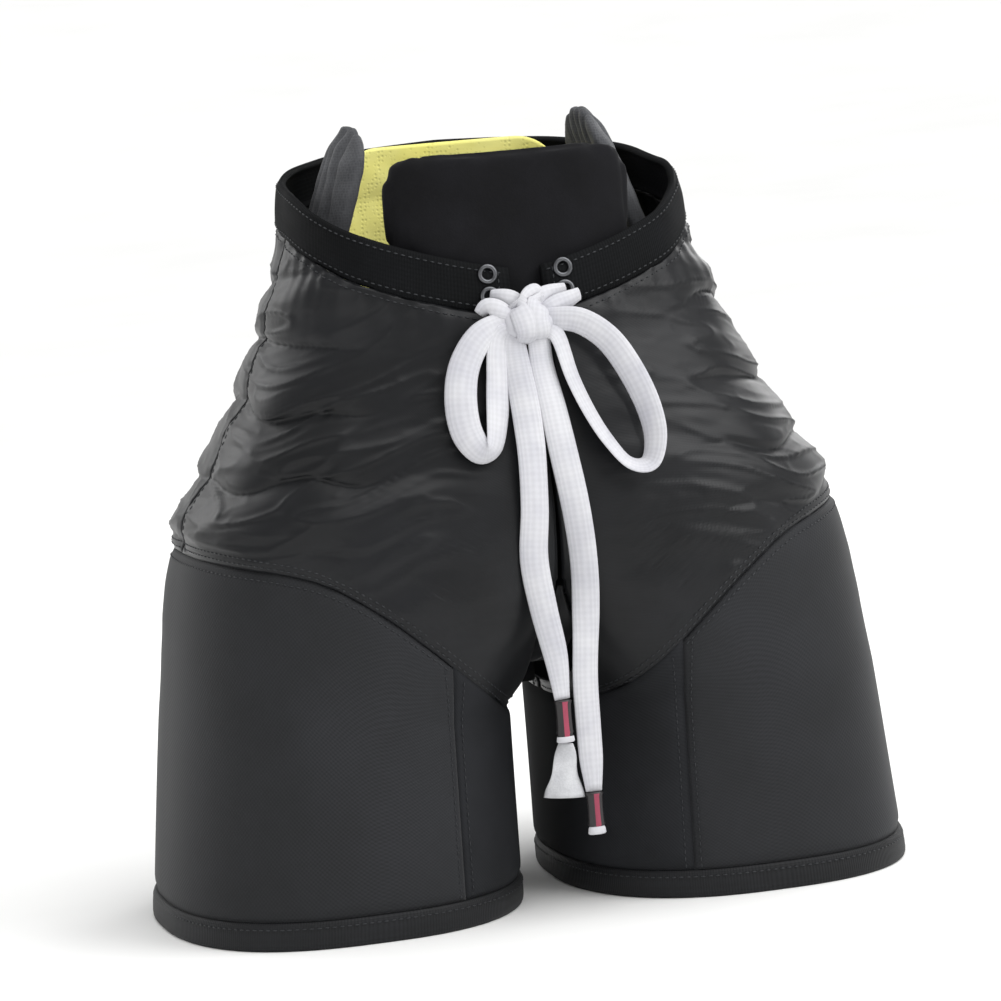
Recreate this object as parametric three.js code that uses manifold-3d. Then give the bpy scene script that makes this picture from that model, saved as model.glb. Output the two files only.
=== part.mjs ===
// Ice hockey pants, junior size, standing on their two leg hems.
// Millimetres, +Z up, front towards -Y, the wearer's left side at +X.
// The origin is at the centre of the footprint, on the surface the hems rest on.
// The fabric shell is one smooth body whose horizontal sections are rounded ovals: one oval at the
// waist that parts into two leg ovals at the crotch. Every layer is a patch of that body.

import * as THREE from "three";
import { LoftGeometry } from "three/addons/geometries/LoftGeometry.js";
import { mergeVertices } from "three/addons/utils/BufferGeometryUtils.js";
import Module from "manifold-3d";

// ---------- Driving dimensions ----------

const LEG_GAP = 28; // between the two inner legs
const HEM_HALF_WIDTH = 221; // centre line to the outside of a hem
const THIGH_HALF_WIDTH = 206;
const HIP_HALF_WIDTH = 192;
const WAIST_HALF_WIDTH = 126;
const HEM_HALF_DEPTH = 119;
const HIP_HALF_DEPTH = 124;
const WAIST_HALF_DEPTH = 94;
const SECTION_SQUARENESS = 2.5; // 2 is an ellipse, more is boxier

const THIGH_HEIGHT = 130;
const CROTCH_HEIGHT = 118;
const HIP_HEIGHT = 216;
const WAIST_HEIGHT = 345;
const RIM_FRONT_HEIGHT = 367; // top edge of the waistband at the fly
const RIM_SIDE_HEIGHT = 418;
const RIM_BACK_HEIGHT = 436;
const RIM_TUCK = 16; // how far the rim leans in from the waist

const FABRIC = 2.2; // shell fabric with its backing
const SEAM_GAP = 0.8; // between two panels that are sewn together
const LAYER_GAP = 1; // between two layers that lie on each other

const HEM_BAND_HEIGHT = 16;
const HEM_BAND_THICKNESS = 5;
const WAISTBAND_WIDTH = 27;
const WAISTBAND_THICKNESS = 4;

const FLY_HALF_WIDTH = 9;
const FLY_BOTTOM_HEIGHT = 300;
const FACING_WIDTH = 22;
const FACING_THICKNESS = 2.4;

const GUSSET_HALF_WIDTH = 12;
const GUSSET_TOP_HEIGHT = 190;
const INSEAM_OFFSET = 67; // centre line to the seam of the inner thigh panel
const BACK_SEAM_ANGLE = 35; // thigh panel to back panel, measured from the side of the leg

const GUARD = 2.6; // moulded plastic
const THIGH_FOAM = 10;
const THIGH_GUARD_BOTTOM = 26;
const LINING = 1.2;

const FRONT_PAD_HALF_WIDTH = 76;
const FRONT_PAD_BOTTOM = 304;
const FRONT_PAD_TOP = 439;
const FRONT_PAD_THICKNESS = 12;
const FRONT_PAD_CORNER = 22;

const BACK_PAD_HALF_WIDTH = 66;
const BACK_PAD_BOTTOM = 302;
const BACK_PAD_THICKNESS = 9;
const BACK_PAD_CORNER = 26;
const KIDNEY_GUARD_INNER = 6;
const KIDNEY_GUARD_OUTER = 58;
const KIDNEY_GUARD_HEIGHT = 84;
const TAILBONE_HALF_WIDTH = 34;
const TAILBONE_BOTTOM = 205;
const TAILBONE_HEIGHT = 88;
const TAILBONE_PAD = 9;

const HIP_PAD_LENGTH = 74; // front to back
const HIP_PAD_HEIGHT = 104;
const HIP_PAD_THICKNESS = 10;
const HIP_PAD_SHIFT = 14; // its middle sits this far behind the side line
const HIP_PAD_SEAT = 0.6; // to the shell it is sewn to
const HIP_PAD_BOTTOM = 350;
const HIP_PAD_LEAN = 20; // degrees, top towards the body
const HIP_PAD_TOP_RADIUS = 30;
const HIP_GUARD_MARGIN = 9; // from the edge of the pad to its plate

const EYELET_HOLE_RADIUS = 3.2;
const EYELET_RIM_RADIUS = 5.6;
const EYELET_WALL = 0.8;
const EYELET_SIDES = 10;
const EYELET_FIT = 0.3; // barrel to fabric
const EYELET_OFFSET = 22; // centre line to an eyelet
const EYELET_HEIGHTS = { upper: 364.5, lower: 352 };

const LACE_WIDTH = 13;
const LACE_THICKNESS = 2.4;
const KNOT_SIZE = [30, 15, 21]; // across, front to back, up
const KNOT_CENTRE = [-4, -103.8, 336];
const AGLET_LENGTH = 24;
const AGLET_RADIUS = 3.6;
const AGLET_GAP = 0.4; // to the end of its lace

// ---------- Materials ----------

const finish = (color, roughness, metalness = 0) =>
  new THREE.MeshStandardMaterial({ color, roughness, metalness });

const shellNylon = finish(0x28292b, 0.5);
const thighNylon = finish(0x323335, 0.65);
const binding = finish(0x1d1e20, 0.7);
const padCover = finish(0x1f1f21, 0.8);
const wingCover = finish(0x4c4d4f, 0.6);
const liningCloth = finish(0xece66a, 0.75);
const meshLining = finish(0x3a3b3e, 0.85);
const foam = finish(0xd9d6c8, 0.9);
const plastic = finish(0x2b2d30, 0.45);
const nickel = finish(0xb8babb, 0.3, 1);
const laceCotton = finish(0xeeeef0, 0.8);
const agletPlastic = finish(0x9c4256, 0.4);

// ---------- The body that every layer follows ----------

const mix = THREE.MathUtils.lerp;
const degrees = THREE.MathUtils.degToRad;
const ease = THREE.MathUtils.smoothstep;
const HALF_TURN = 180;

// A smooth value along a line of [position, value] knots.
function profile(knots) {
  const slope = (i) => {
    const a = knots[Math.max(i - 1, 0)];
    const b = knots[Math.min(i + 1, knots.length - 1)];
    return (b[1] - a[1]) / (b[0] - a[0]);
  };
  return (at) => {
    const x = Math.min(Math.max(at, knots[0][0]), knots.at(-1)[0]);
    const i = Math.max(knots.findIndex((k) => k[0] >= x), 1) - 1;
    const [[x0, y0], [x1, y1]] = [knots[i], knots[i + 1]];
    const span = x1 - x0;
    const t = (x - x0) / span;
    const s = t * t * (3 - 2 * t);
    const bendStart = (t - 2 * t * t + t * t * t) * span * slope(i);
    const bendEnd = (t * t * t - t * t) * span * slope(i + 1);
    return mix(y0, y1, s) + bendStart + bendEnd;
  };
}

const halfWidth = profile([
  [0, HEM_HALF_WIDTH],
  [THIGH_HEIGHT, THIGH_HALF_WIDTH],
  [HIP_HEIGHT, HIP_HALF_WIDTH],
  [mix(HIP_HEIGHT, WAIST_HEIGHT, 0.5), mix(HIP_HALF_WIDTH, WAIST_HALF_WIDTH, 0.56)],
  [WAIST_HEIGHT, WAIST_HALF_WIDTH],
  [RIM_BACK_HEIGHT, WAIST_HALF_WIDTH - RIM_TUCK],
]);
const halfDepth = profile([
  [0, HEM_HALF_DEPTH],
  [THIGH_HEIGHT, HIP_HALF_DEPTH - 1],
  [HIP_HEIGHT, HIP_HALF_DEPTH],
  [mix(HIP_HEIGHT, WAIST_HEIGHT, 0.5), mix(HIP_HALF_DEPTH, WAIST_HALF_DEPTH, 0.45)],
  [WAIST_HEIGHT, WAIST_HALF_DEPTH],
  [RIM_BACK_HEIGHT, WAIST_HALF_DEPTH - RIM_TUCK / 2],
]);
const legCentreAtCrotch = (halfWidth(CROTCH_HEIGHT) + LEG_GAP / 2) / 2;

// Where the oval of one side is centred: half way across a leg, and on the centre line at the waist.
function ovalCentre(z) {
  if (z <= CROTCH_HEIGHT) return (halfWidth(z) + LEG_GAP / 2) / 2;
  const rise = (z - CROTCH_HEIGHT) / (WAIST_HEIGHT - CROTCH_HEIGHT);
  return legCentreAtCrotch * (1 - ease(rise, -0.35, 1)) / (1 - ease(0, -0.35, 1));
}

const power = (value, exponent) => Math.sign(value) * Math.abs(value) ** exponent;
const ovalRadius = (z, inset) => halfWidth(z) - ovalCentre(z) - inset;

// A point of the left side. The angle is 0 at the side, negative to the front, in degrees.
function bodyPoint(z, angle, inset) {
  const a = degrees(angle);
  const exponent = 2 / SECTION_SQUARENESS;
  return new THREE.Vector3(
    ovalCentre(z) + ovalRadius(z, inset) * power(Math.cos(a), exponent),
    (halfDepth(z) - inset) * power(Math.sin(a), exponent),
    z,
  );
}

// The angle, without its sign, at which the left side's section reaches x.
function angleAt(z, x, inset) {
  const across = THREE.MathUtils.clamp((x - ovalCentre(z)) / ovalRadius(z, inset), -1, 1);
  return THREE.MathUtils.radToDeg(Math.acos(power(across, SECTION_SQUARENESS / 2)));
}

// How far the front or the back wall stands from the centre plane at x.
function wallDepth(z, x, inset) {
  const across = (Math.abs(x) - ovalCentre(z)) / ovalRadius(z, inset);
  const rest = Math.max(1 - Math.abs(across) ** SECTION_SQUARENESS, 0);
  return (halfDepth(z) - inset) * rest ** (1 / SECTION_SQUARENESS);
}

// ---------- Seam lines ----------

// The slanting seam from the crotch up to the hip, where the leg panels start.
const hipSeam = profile([
  [0, CROTCH_HEIGHT - 8],
  [25, CROTCH_HEIGHT - 4],
  [52, mix(CROTCH_HEIGHT, HIP_HEIGHT, 0.18)],
  [80, mix(CROTCH_HEIGHT, HIP_HEIGHT, 0.44)],
  [108, mix(CROTCH_HEIGHT, HIP_HEIGHT, 0.68)],
  [140, mix(CROTCH_HEIGHT, HIP_HEIGHT, 0.88)],
  [HIP_HALF_WIDTH, HIP_HEIGHT],
]);

// The top edge of the waistband, from the fly (0) round one side (0.5) to the back (1).
const rim = profile([
  [0, RIM_FRONT_HEIGHT],
  [0.24, mix(RIM_FRONT_HEIGHT, RIM_SIDE_HEIGHT, 0.6)],
  [0.5, RIM_SIDE_HEIGHT],
  [0.78, mix(RIM_SIDE_HEIGHT, RIM_BACK_HEIGHT, 0.75)],
  [1, RIM_BACK_HEIGHT],
]);
const waistSeam = (round) => rim(round) - WAISTBAND_WIDTH;

// Half the width of the fly slit, closed below its bottom.
const flyEdge = (z) =>
  SEAM_GAP / 2 + FLY_HALF_WIDTH * ease(z, FLY_BOTTOM_HEIGHT - 12, FLY_BOTTOM_HEIGHT + 6);
const gussetEdge = (z) =>
  1 + (GUSSET_HALF_WIDTH - 1) * (1 - ease(z, GUSSET_TOP_HEIGHT - 34, GUSSET_TOP_HEIGHT));
const panelStart = (z) =>
  z < GUSSET_TOP_HEIGHT + 1 ? gussetEdge(z) + SEAM_GAP : flyEdge(z);

// ---------- Patch builders ----------

const SEAM_PASSES = 24; // rounds in which a point settles on a seam line
const range = (count) => Array.from({ length: count + 1 }, (_, i) => i / count);

// A layer between an outer and an inner surface, lofted from slice to slice across it.
function layer({ outer, inner, across, up }, pointAt) {
  const slices = range(across).map((u) => [
    ...range(up).reverse().map((v) => pointAt(u, v, outer)),
    ...range(up).map((v) => pointAt(u, v, inner)),
  ]);
  return new LoftGeometry(slices, { capStart: true, capEnd: true });
}

// A patch of the left side between two angles, from a lower to an upper seam line.
function sidePatch(patch) {
  const { from, to, bottom, top } = patch;
  return layer(patch, (u, v, inset) => {
    let z = mix(CROTCH_HEIGHT, HIP_HEIGHT, v);
    let point;
    for (let pass = 0; pass < SEAM_PASSES; pass += 1) {
      point = bodyPoint(z, mix(from(z, inset), to(z, inset), u), inset);
      z = mix(z, mix(bottom(point.x, u), top(point.x, u), v), 0.7);
    }
    return point;
  });
}

// A patch of the front (-1) or back (1) wall between two distances from the centre plane.
function wallPatch(patch) {
  const { facing, from, to, bottom, top } = patch;
  return layer(patch, (u, v, inset) => {
    const x = mix(from, to, facing < 0 ? u : 1 - u);
    const z = mix(bottom(x), top(x), v);
    return new THREE.Vector3(x, facing * wallDepth(z, x, inset), z);
  });
}

// How far an outline has dropped at x where its corners are rounded.
function cornerDrop(x, middle, half, radius) {
  const past = Math.max(Math.abs(x - middle) - (half - radius), 0);
  return radius - Math.sqrt(Math.max(radius ** 2 - past ** 2, 0));
}

const always = (value) => () => value;

// ---------- Booleans ----------

const wasm = await Module();
wasm.setup();

function solidOf(geometry) {
  const bare = new THREE.BufferGeometry().copy(geometry);
  bare.deleteAttribute("normal");
  bare.deleteAttribute("uv");
  const merged = mergeVertices(bare, 1e-3);
  const mesh = { numProp: 3, vertProperties: merged.attributes.position.array };
  mesh.triVerts = new Uint32Array(merged.index.array);
  return new wasm.Manifold(new wasm.Mesh(mesh));
}

function geometryOf(solid) {
  const mesh = solid.getMesh();
  const geometry = new THREE.BufferGeometry();
  geometry.setAttribute("position", new THREE.BufferAttribute(mesh.vertProperties, 3));
  geometry.setIndex(new THREE.BufferAttribute(mesh.triVerts, 1));
  return geometry;
}

const withHoles = (geometry, cutters) =>
  geometryOf(cutters.reduce((solid, cutter) => solid.subtract(solidOf(cutter)), solidOf(geometry)));

// ---------- Assembly helpers ----------

const pants = new THREE.Group();

function add(name, geometry, material, parent = pants) {
  const mesh = new THREE.Mesh(geometry, material);
  mesh.name = name;
  parent.add(mesh);
  return mesh;
}

// The wearer's left piece and its mirror image on the right.
function addPair(name, geometry, material) {
  add(`${name}_left`, geometry, material);
  add(`${name}_right`, geometry, material).scale.x = -1;
}

// ---------- Shell ----------

const shell = { outer: 0, inner: FABRIC };
const overHipSeam = (x) => hipSeam(x) + SEAM_GAP / 2;
const underHipSeam = (x) => hipSeam(x) - SEAM_GAP / 2;
const SIDE_SEAM = SEAM_GAP / 4; // degrees from the side line

function addUpperShell() {
  const front = {
    ...shell,
    from: (z, inset) => -angleAt(z, panelStart(z), inset),
    to: always(-SIDE_SEAM),
    bottom: overHipSeam,
    top: (_, u) => waistSeam(u / 2) - SEAM_GAP / 2,
    across: 13,
    up: 9,
  };
  addPair("front_panel", sidePatch(front), shellNylon);
  const seat = {
    ...front,
    from: always(SIDE_SEAM),
    to: (z, inset) => angleAt(z, z < GUSSET_TOP_HEIGHT + 1 ? panelStart(z) : SEAM_GAP / 2, inset),
    top: (_, u) => waistSeam((1 + u) / 2) - SEAM_GAP / 2,
  };
  addPair("seat_panel", sidePatch(seat), shellNylon);
}

// The height at which the centre line of the wall stands this far from the middle.
function centreHeight(y) {
  let [low, high] = [CROTCH_HEIGHT, GUSSET_TOP_HEIGHT];
  for (let halving = 0; halving < 30; halving += 1) {
    const middle = (low + high) / 2;
    if (wallDepth(middle, 0, 0) < Math.abs(y)) low = middle;
    else high = middle;
  }
  return high;
}

// A boat-shaped strip that runs from the front, under the crotch, to the back.
function addGusset() {
  const reach = wallDepth(GUSSET_TOP_HEIGHT - 3, 0, 0);
  const line = range(24).map((v) => mix(-reach, reach, v))
    .map((y) => new THREE.Vector3(0, y, centreHeight(y)));
  const sections = line.map((point, i) => {
    const along = line[Math.min(i + 1, line.length - 1)].clone().sub(line[Math.max(i - 1, 0)]);
    const up = new THREE.Vector3(0, -along.z, along.y).normalize().multiplyScalar(FABRIC);
    const half = new THREE.Vector3(gussetEdge(point.z), 0, 0);
    const inner = point.clone().add(up);
    return [point.clone().add(half), point.clone().sub(half), inner.clone().sub(half), inner.add(half)];
  });
  add("crotch_gusset", new LoftGeometry(sections, { capStart: true, capEnd: true }), shellNylon);
}

function eyeletSpots() {
  return Object.entries(EYELET_HEIGHTS).map(([name, z]) => ({ name, z }));
}

const CUT_LENGTH = 40; // well past both faces of the band

// How far the front wall leans back at this place.
const outward = (z, x) => {
  const step = 2;
  const rise = (wallDepth(z + step, x, 0) - wallDepth(z - step, x, 0)) / (2 * step);
  return Math.atan(rise);
};

function addWaistband() {
  const band = sidePatch({
    outer: 0,
    inner: WAISTBAND_THICKNESS,
    from: (z, inset) => -angleAt(z, FLY_HALF_WIDTH + SEAM_GAP / 2, inset),
    to: (z, inset) => angleAt(z, SEAM_GAP / 2, inset),
    bottom: (_, u) => waistSeam(u) + SEAM_GAP / 2,
    top: (_, u) => rim(u),
    across: 22,
    up: 2,
  });
  const holeRadius = EYELET_HOLE_RADIUS + EYELET_WALL + EYELET_FIT;
  const holes = eyeletSpots().map(({ z }) => {
    const hole = new THREE.CylinderGeometry(holeRadius, holeRadius, CUT_LENGTH, EYELET_SIDES + 2);
    hole.rotateX(outward(z, EYELET_OFFSET));
    return hole.translate(EYELET_OFFSET, -wallDepth(z, EYELET_OFFSET, 0), z);
  });
  addPair("waistband", withHoles(band, holes), binding);
}

function addEyelets() {
  const bore = EYELET_HOLE_RADIUS;
  const barrel = EYELET_HOLE_RADIUS + EYELET_WALL;
  const depth = WAISTBAND_THICKNESS + LAYER_GAP / 2;
  const seat = LAYER_GAP / 2;
  const face = seat + EYELET_WALL;
  const profilePoints = [
    [bore, -depth], [barrel, -depth], [barrel, seat], [EYELET_RIM_RADIUS, seat],
    [EYELET_RIM_RADIUS, face], [bore, face], [bore, -depth],
  ].map(([x, y]) => new THREE.Vector2(x, y));
  for (const { name, z } of eyeletSpots()) {
    const eyelet = new THREE.LatheGeometry(profilePoints, EYELET_SIDES);
    eyelet.rotateX(Math.PI + outward(z, EYELET_OFFSET));
    eyelet.translate(EYELET_OFFSET, -wallDepth(z, EYELET_OFFSET, 0), z);
    addPair(`eyelet_${name}`, eyelet, nickel);
  }
}

function addFlyFacings() {
  const facing = wallPatch({
    facing: -1,
    from: FLY_HALF_WIDTH + SEAM_GAP / 2,
    to: FLY_HALF_WIDTH + FACING_WIDTH,
    bottom: always(FLY_BOTTOM_HEIGHT - 8),
    top: always(RIM_FRONT_HEIGHT - WAISTBAND_WIDTH - 2),
    outer: FABRIC + LAYER_GAP,
    inner: FABRIC + LAYER_GAP + FACING_THICKNESS,
    across: 3,
    up: 3,
  });
  addPair("fly_facing", facing, binding);
}

// ---------- Pads inside the shell ----------

const padOutset = FABRIC + LAYER_GAP + FACING_THICKNESS + LAYER_GAP;

function addFrontPad() {
  const half = FRONT_PAD_HALF_WIDTH;
  const drop = (x) => cornerDrop(x, 0, half, FRONT_PAD_CORNER);
  const pad = wallPatch({
    facing: -1,
    from: -half,
    to: half,
    bottom: (x) => FRONT_PAD_BOTTOM + drop(x),
    top: (x) => FRONT_PAD_TOP - drop(x),
    outer: padOutset,
    inner: padOutset + FRONT_PAD_THICKNESS,
    across: 20,
    up: 4,
  });
  add("front_pad", pad, padCover);
}

function addBackPad() {
  const half = BACK_PAD_HALF_WIDTH;
  const guardOuter = WAISTBAND_THICKNESS + LAYER_GAP;
  const padOuter = guardOuter + GUARD + LAYER_GAP;
  const liningOuter = padOuter + BACK_PAD_THICKNESS + LAYER_GAP;
  const backWall = (widths, heights, layers, corner) => {
    const [from, to] = widths;
    const drop = (x) => cornerDrop(x, (from + to) / 2, (to - from) / 2, corner);
    return wallPatch({
      facing: 1,
      from,
      to,
      bottom: (x) => heights[0] + drop(x),
      top: (x) => heights[1] - drop(x),
      outer: layers[0],
      inner: layers[1],
      across: 14,
      up: 4,
    });
  };
  const top = RIM_BACK_HEIGHT - 3;
  add(
    "back_pad",
    backWall([-half, half], [BACK_PAD_BOTTOM, top], [padOuter, padOuter + BACK_PAD_THICKNESS], BACK_PAD_CORNER),
    padCover,
  );
  add(
    "back_lining",
    backWall([-half - 2, half + 2], [BACK_PAD_BOTTOM - 4, top + 2], [liningOuter, liningOuter + LINING],
      BACK_PAD_CORNER),
    liningCloth,
  );
  const guardTop = top - 14;
  addPair(
    "kidney_guard",
    backWall([KIDNEY_GUARD_INNER, KIDNEY_GUARD_OUTER], [guardTop - KIDNEY_GUARD_HEIGHT, guardTop],
      [guardOuter, guardOuter + GUARD], 18),
    plastic,
  );
  const tailOuter = FABRIC + 2.5 * LAYER_GAP;
  const tailTop = TAILBONE_BOTTOM + TAILBONE_HEIGHT;
  const tail = TAILBONE_HALF_WIDTH;
  add(
    "tailbone_guard",
    backWall([-tail, tail], [TAILBONE_BOTTOM, tailTop], [tailOuter, tailOuter + GUARD], 16),
    plastic,
  );
  const tailPadOuter = tailOuter + GUARD + LAYER_GAP;
  add(
    "tailbone_pad",
    backWall([-tail - 4, tail + 4], [TAILBONE_BOTTOM - 4, tailTop + 4],
      [tailPadOuter, tailPadOuter + TAILBONE_PAD], 18),
    padCover,
  );
}

// A pad that stands up at each side of the waist, with its plastic plate on the outer face.
function addHipPads() {
  const outline = (length, height, radius) => {
    const shape = new THREE.Shape();
    const half = length / 2;
    shape.moveTo(-half, 0);
    shape.lineTo(half, 0);
    shape.lineTo(half, height - radius);
    shape.absarc(half - radius, height - radius, radius, 0, Math.PI / 2);
    shape.lineTo(radius - half, height);
    shape.absarc(radius - half, height - radius, radius, Math.PI / 2, Math.PI);
    shape.closePath();
    return shape;
  };
  const padOuterFace = wallInside(HIP_PAD_BOTTOM, HIP_PAD_LENGTH / 2 + HIP_PAD_SHIFT) - HIP_PAD_SEAT;
  const place = (geometry, outerFace, thickness, lift) => {
    geometry.rotateX(Math.PI / 2).rotateZ(Math.PI / 2);
    geometry.translate(outerFace - thickness - padOuterFace, 0, lift);
    geometry.rotateY(-degrees(HIP_PAD_LEAN));
    return geometry.translate(padOuterFace, HIP_PAD_SHIFT, HIP_PAD_BOTTOM);
  };
  const pad = new THREE.ExtrudeGeometry(
    outline(HIP_PAD_LENGTH, HIP_PAD_HEIGHT, HIP_PAD_TOP_RADIUS),
    { depth: HIP_PAD_THICKNESS, bevelEnabled: false, curveSegments: 8 },
  );
  addPair("hip_pad", place(pad, padOuterFace, HIP_PAD_THICKNESS, 0), wingCover);
  const margin = HIP_GUARD_MARGIN;
  const plate = new THREE.ExtrudeGeometry(
    outline(HIP_PAD_LENGTH - 2 * margin, HIP_PAD_HEIGHT - 2 * margin, HIP_PAD_TOP_RADIUS - margin),
    { depth: GUARD, bevelEnabled: false, curveSegments: 6 },
  );
  addPair("hip_guard", place(plate, padOuterFace + LAYER_GAP / 2 + GUARD, GUARD, margin), plastic);
}

// How far the shell's inner face stands from the centre plane at the side, y away from the middle.
function wallInside(z, y) {
  const along = Math.min(y / (halfDepth(z) - FABRIC), 1);
  const rest = (1 - along ** SECTION_SQUARENESS) ** (1 / SECTION_SQUARENESS);
  return ovalCentre(z) + ovalRadius(z, FABRIC) * rest;
}

// ---------- Legs ----------

const INSEAM_GAP = SEAM_GAP / 2; // degrees
const inseamAngle = (z, inset) => angleAt(z, INSEAM_OFFSET, inset);
const hemTop = HEM_BAND_HEIGHT + SEAM_GAP;

function addLegShells() {
  const thigh = {
    ...shell,
    from: (z, inset) => -inseamAngle(z, inset) + INSEAM_GAP,
    to: always(BACK_SEAM_ANGLE - SIDE_SEAM),
    bottom: always(hemTop),
    top: underHipSeam,
    across: 18,
    up: 6,
  };
  addPair("thigh_panel", sidePatch(thigh), thighNylon);
  const back = {
    ...thigh,
    from: always(BACK_SEAM_ANGLE + SIDE_SEAM),
    to: (z, inset) => inseamAngle(z, inset) - INSEAM_GAP,
    across: 8,
  };
  addPair("back_leg_panel", sidePatch(back), thighNylon);
  const inner = {
    ...thigh,
    from: inseamAngle,
    to: (z, inset) => 2 * HALF_TURN - inseamAngle(z, inset),
    across: 14,
    up: 4,
  };
  addPair("inner_leg_panel", sidePatch(inner), shellNylon);
}

// A hem band goes once round the leg opening, with a butt seam on the inner side.
function addHemBands() {
  const around = range(44).map((u) => mix(SIDE_SEAM - HALF_TURN, HALF_TURN - SIDE_SEAM, u));
  const sections = around.map((angle) => [
    bodyPoint(0, angle, 0),
    bodyPoint(0, angle, HEM_BAND_THICKNESS),
    bodyPoint(HEM_BAND_HEIGHT, angle, HEM_BAND_THICKNESS),
    bodyPoint(HEM_BAND_HEIGHT, angle, 0),
  ]);
  addPair("hem_band", new LoftGeometry(sections, { capStart: true, capEnd: true }), binding);
}

function addThighPads() {
  const guardOuter = FABRIC + LAYER_GAP;
  const guard = {
    from: (z, inset) => -inseamAngle(z, inset) + 6,
    to: always(12),
    bottom: always(THIGH_GUARD_BOTTOM),
    top: (x) => underHipSeam(x) - 8,
    outer: guardOuter,
    inner: guardOuter + GUARD,
    across: 14,
    up: 5,
  };
  addPair("thigh_guard", sidePatch(guard), plastic);
  const foamOuter = guardOuter + GUARD + LAYER_GAP;
  const pad = {
    ...guard,
    from: (z, inset) => -inseamAngle(z, inset) + 3,
    to: always(18),
    bottom: always(THIGH_GUARD_BOTTOM - 5),
    top: (x) => underHipSeam(x) - 4,
    outer: foamOuter,
    inner: foamOuter + THIGH_FOAM,
  };
  addPair("thigh_foam", sidePatch(pad), foam);
  const liningOuter = foamOuter + THIGH_FOAM + LAYER_GAP;
  const lining = {
    ...pad,
    from: (z, inset) => -inseamAngle(z, inset) - 2,
    to: always(22),
    bottom: always(THIGH_GUARD_BOTTOM - 8),
    outer: liningOuter,
    inner: liningOuter + LINING,
  };
  addPair("thigh_lining", sidePatch(lining), meshLining);
}

// ---------- Lace ----------

// Routes in millimetres, chosen by hand: out of the knot, down in front of the shell.
const LACE_ROUTES = {
  lace_tail_left: [
    [1.5, -105.3, 326.2], [2, -108, 311], [4, -115, 290], [6, -122, 264], [9, -126.5, 234],
    [11, -127, 202], [10, -127, 168], [7.5, -127, 136], [7, -127, 108], [7, -127, 72],
  ],
  lace_tail_right: [
    [-13, -105.3, 325.9], [-13, -108, 311], [-12, -115, 290], [-12, -122, 264], [-14, -126.5, 234],
    [-17, -127, 206], [-14, -127, 178], [-9, -127, 150], [-7.2, -127, 126],
  ],
  lace_loop_left: [
    [11.2, -105, 337], [26, -107, 334], [40, -110, 323], [50, -114, 306], [57, -119, 286],
    [59, -123, 268], [54, -126, 254], [43, -126, 255], [33, -122, 268], [25, -117, 284],
    [18, -111, 304], [12.6, -106, 327],
  ],
  lace_loop_right: [
    [-19.4, -105, 337], [-33, -107, 331], [-44, -110, 316], [-49, -115, 298], [-48, -119, 280],
    [-41, -122, 268], [-33, -121, 270], [-28, -116, 286], [-25, -110, 304], [-21.8, -106, 328],
  ],
};

// The lace's section: a flat oval, eight-sided.
function laceSection(width, thickness) {
  const sides = 8;
  const corner = (i) => degrees((360 * (i + 0.5)) / sides);
  const points = range(sides).slice(0, sides)
    .map((_, i) => new THREE.Vector2((Math.cos(corner(i)) * width) / 2, (Math.sin(corner(i)) * thickness) / 2));
  return new THREE.Shape(points);
}

function laceAlong(points, section, steps) {
  const route = new THREE.CatmullRomCurve3(points.map((p) => new THREE.Vector3(...p)));
  return new THREE.ExtrudeGeometry(section, { steps, bevelEnabled: false, extrudePath: route });
}

function addLace() {
  const knot = new THREE.SphereGeometry(0.5, 14, 8).scale(...KNOT_SIZE).translate(...KNOT_CENTRE);
  add("lace_knot", knot, laceCotton);
  const slim = laceSection(LACE_THICKNESS * 2, LACE_THICKNESS * 2);
  for (const [name, points] of Object.entries(LACE_ROUTES)) {
    const isTail = name.includes("tail");
    const section = isTail ? laceSection(LACE_WIDTH, LACE_THICKNESS) : slim;
    add(name, laceAlong(points, section, isTail ? 12 : 18), laceCotton);
  }
  for (const side of ["left", "right"]) {
    const [x, y, z] = LACE_ROUTES[`lace_tail_${side}`].at(-1);
    const aglet = new THREE.CylinderGeometry(AGLET_RADIUS, AGLET_RADIUS, AGLET_LENGTH, 10);
    aglet.rotateX(Math.PI / 2).translate(x, y, z - AGLET_LENGTH / 2 - AGLET_GAP);
    add(`aglet_${side}`, aglet, agletPlastic);
  }
}

// ---------- The object ----------

addUpperShell();
addGusset();
addWaistband();
addEyelets();
addFlyFacings();
addFrontPad();
addBackPad();
addHipPads();
addLegShells();
addHemBands();
addThighPads();
addLace();

export default pants;
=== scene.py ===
"""Junior ice hockey pants: cloth shell, pads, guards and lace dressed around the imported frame."""
import logging
import math
from collections.abc import Callable, Sequence
from dataclasses import dataclass, field, replace
from enum import Enum

import bmesh
import bpy
import numpy as np
from mathutils import Matrix, Vector, noise


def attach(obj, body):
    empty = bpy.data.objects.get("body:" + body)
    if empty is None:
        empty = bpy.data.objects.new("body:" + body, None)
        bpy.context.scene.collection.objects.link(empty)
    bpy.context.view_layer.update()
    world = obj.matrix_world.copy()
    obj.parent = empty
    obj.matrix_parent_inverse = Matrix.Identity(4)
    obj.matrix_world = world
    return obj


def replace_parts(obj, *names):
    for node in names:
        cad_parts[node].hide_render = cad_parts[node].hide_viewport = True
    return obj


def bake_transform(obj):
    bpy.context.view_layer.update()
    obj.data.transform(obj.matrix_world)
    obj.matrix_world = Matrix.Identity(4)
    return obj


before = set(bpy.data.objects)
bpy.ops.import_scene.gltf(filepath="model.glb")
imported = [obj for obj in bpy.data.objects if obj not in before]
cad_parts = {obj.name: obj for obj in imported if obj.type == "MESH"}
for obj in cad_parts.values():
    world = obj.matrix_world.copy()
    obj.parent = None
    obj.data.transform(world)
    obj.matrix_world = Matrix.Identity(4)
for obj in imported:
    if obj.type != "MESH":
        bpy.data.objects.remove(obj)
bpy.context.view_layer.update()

MM = 0.001
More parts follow.
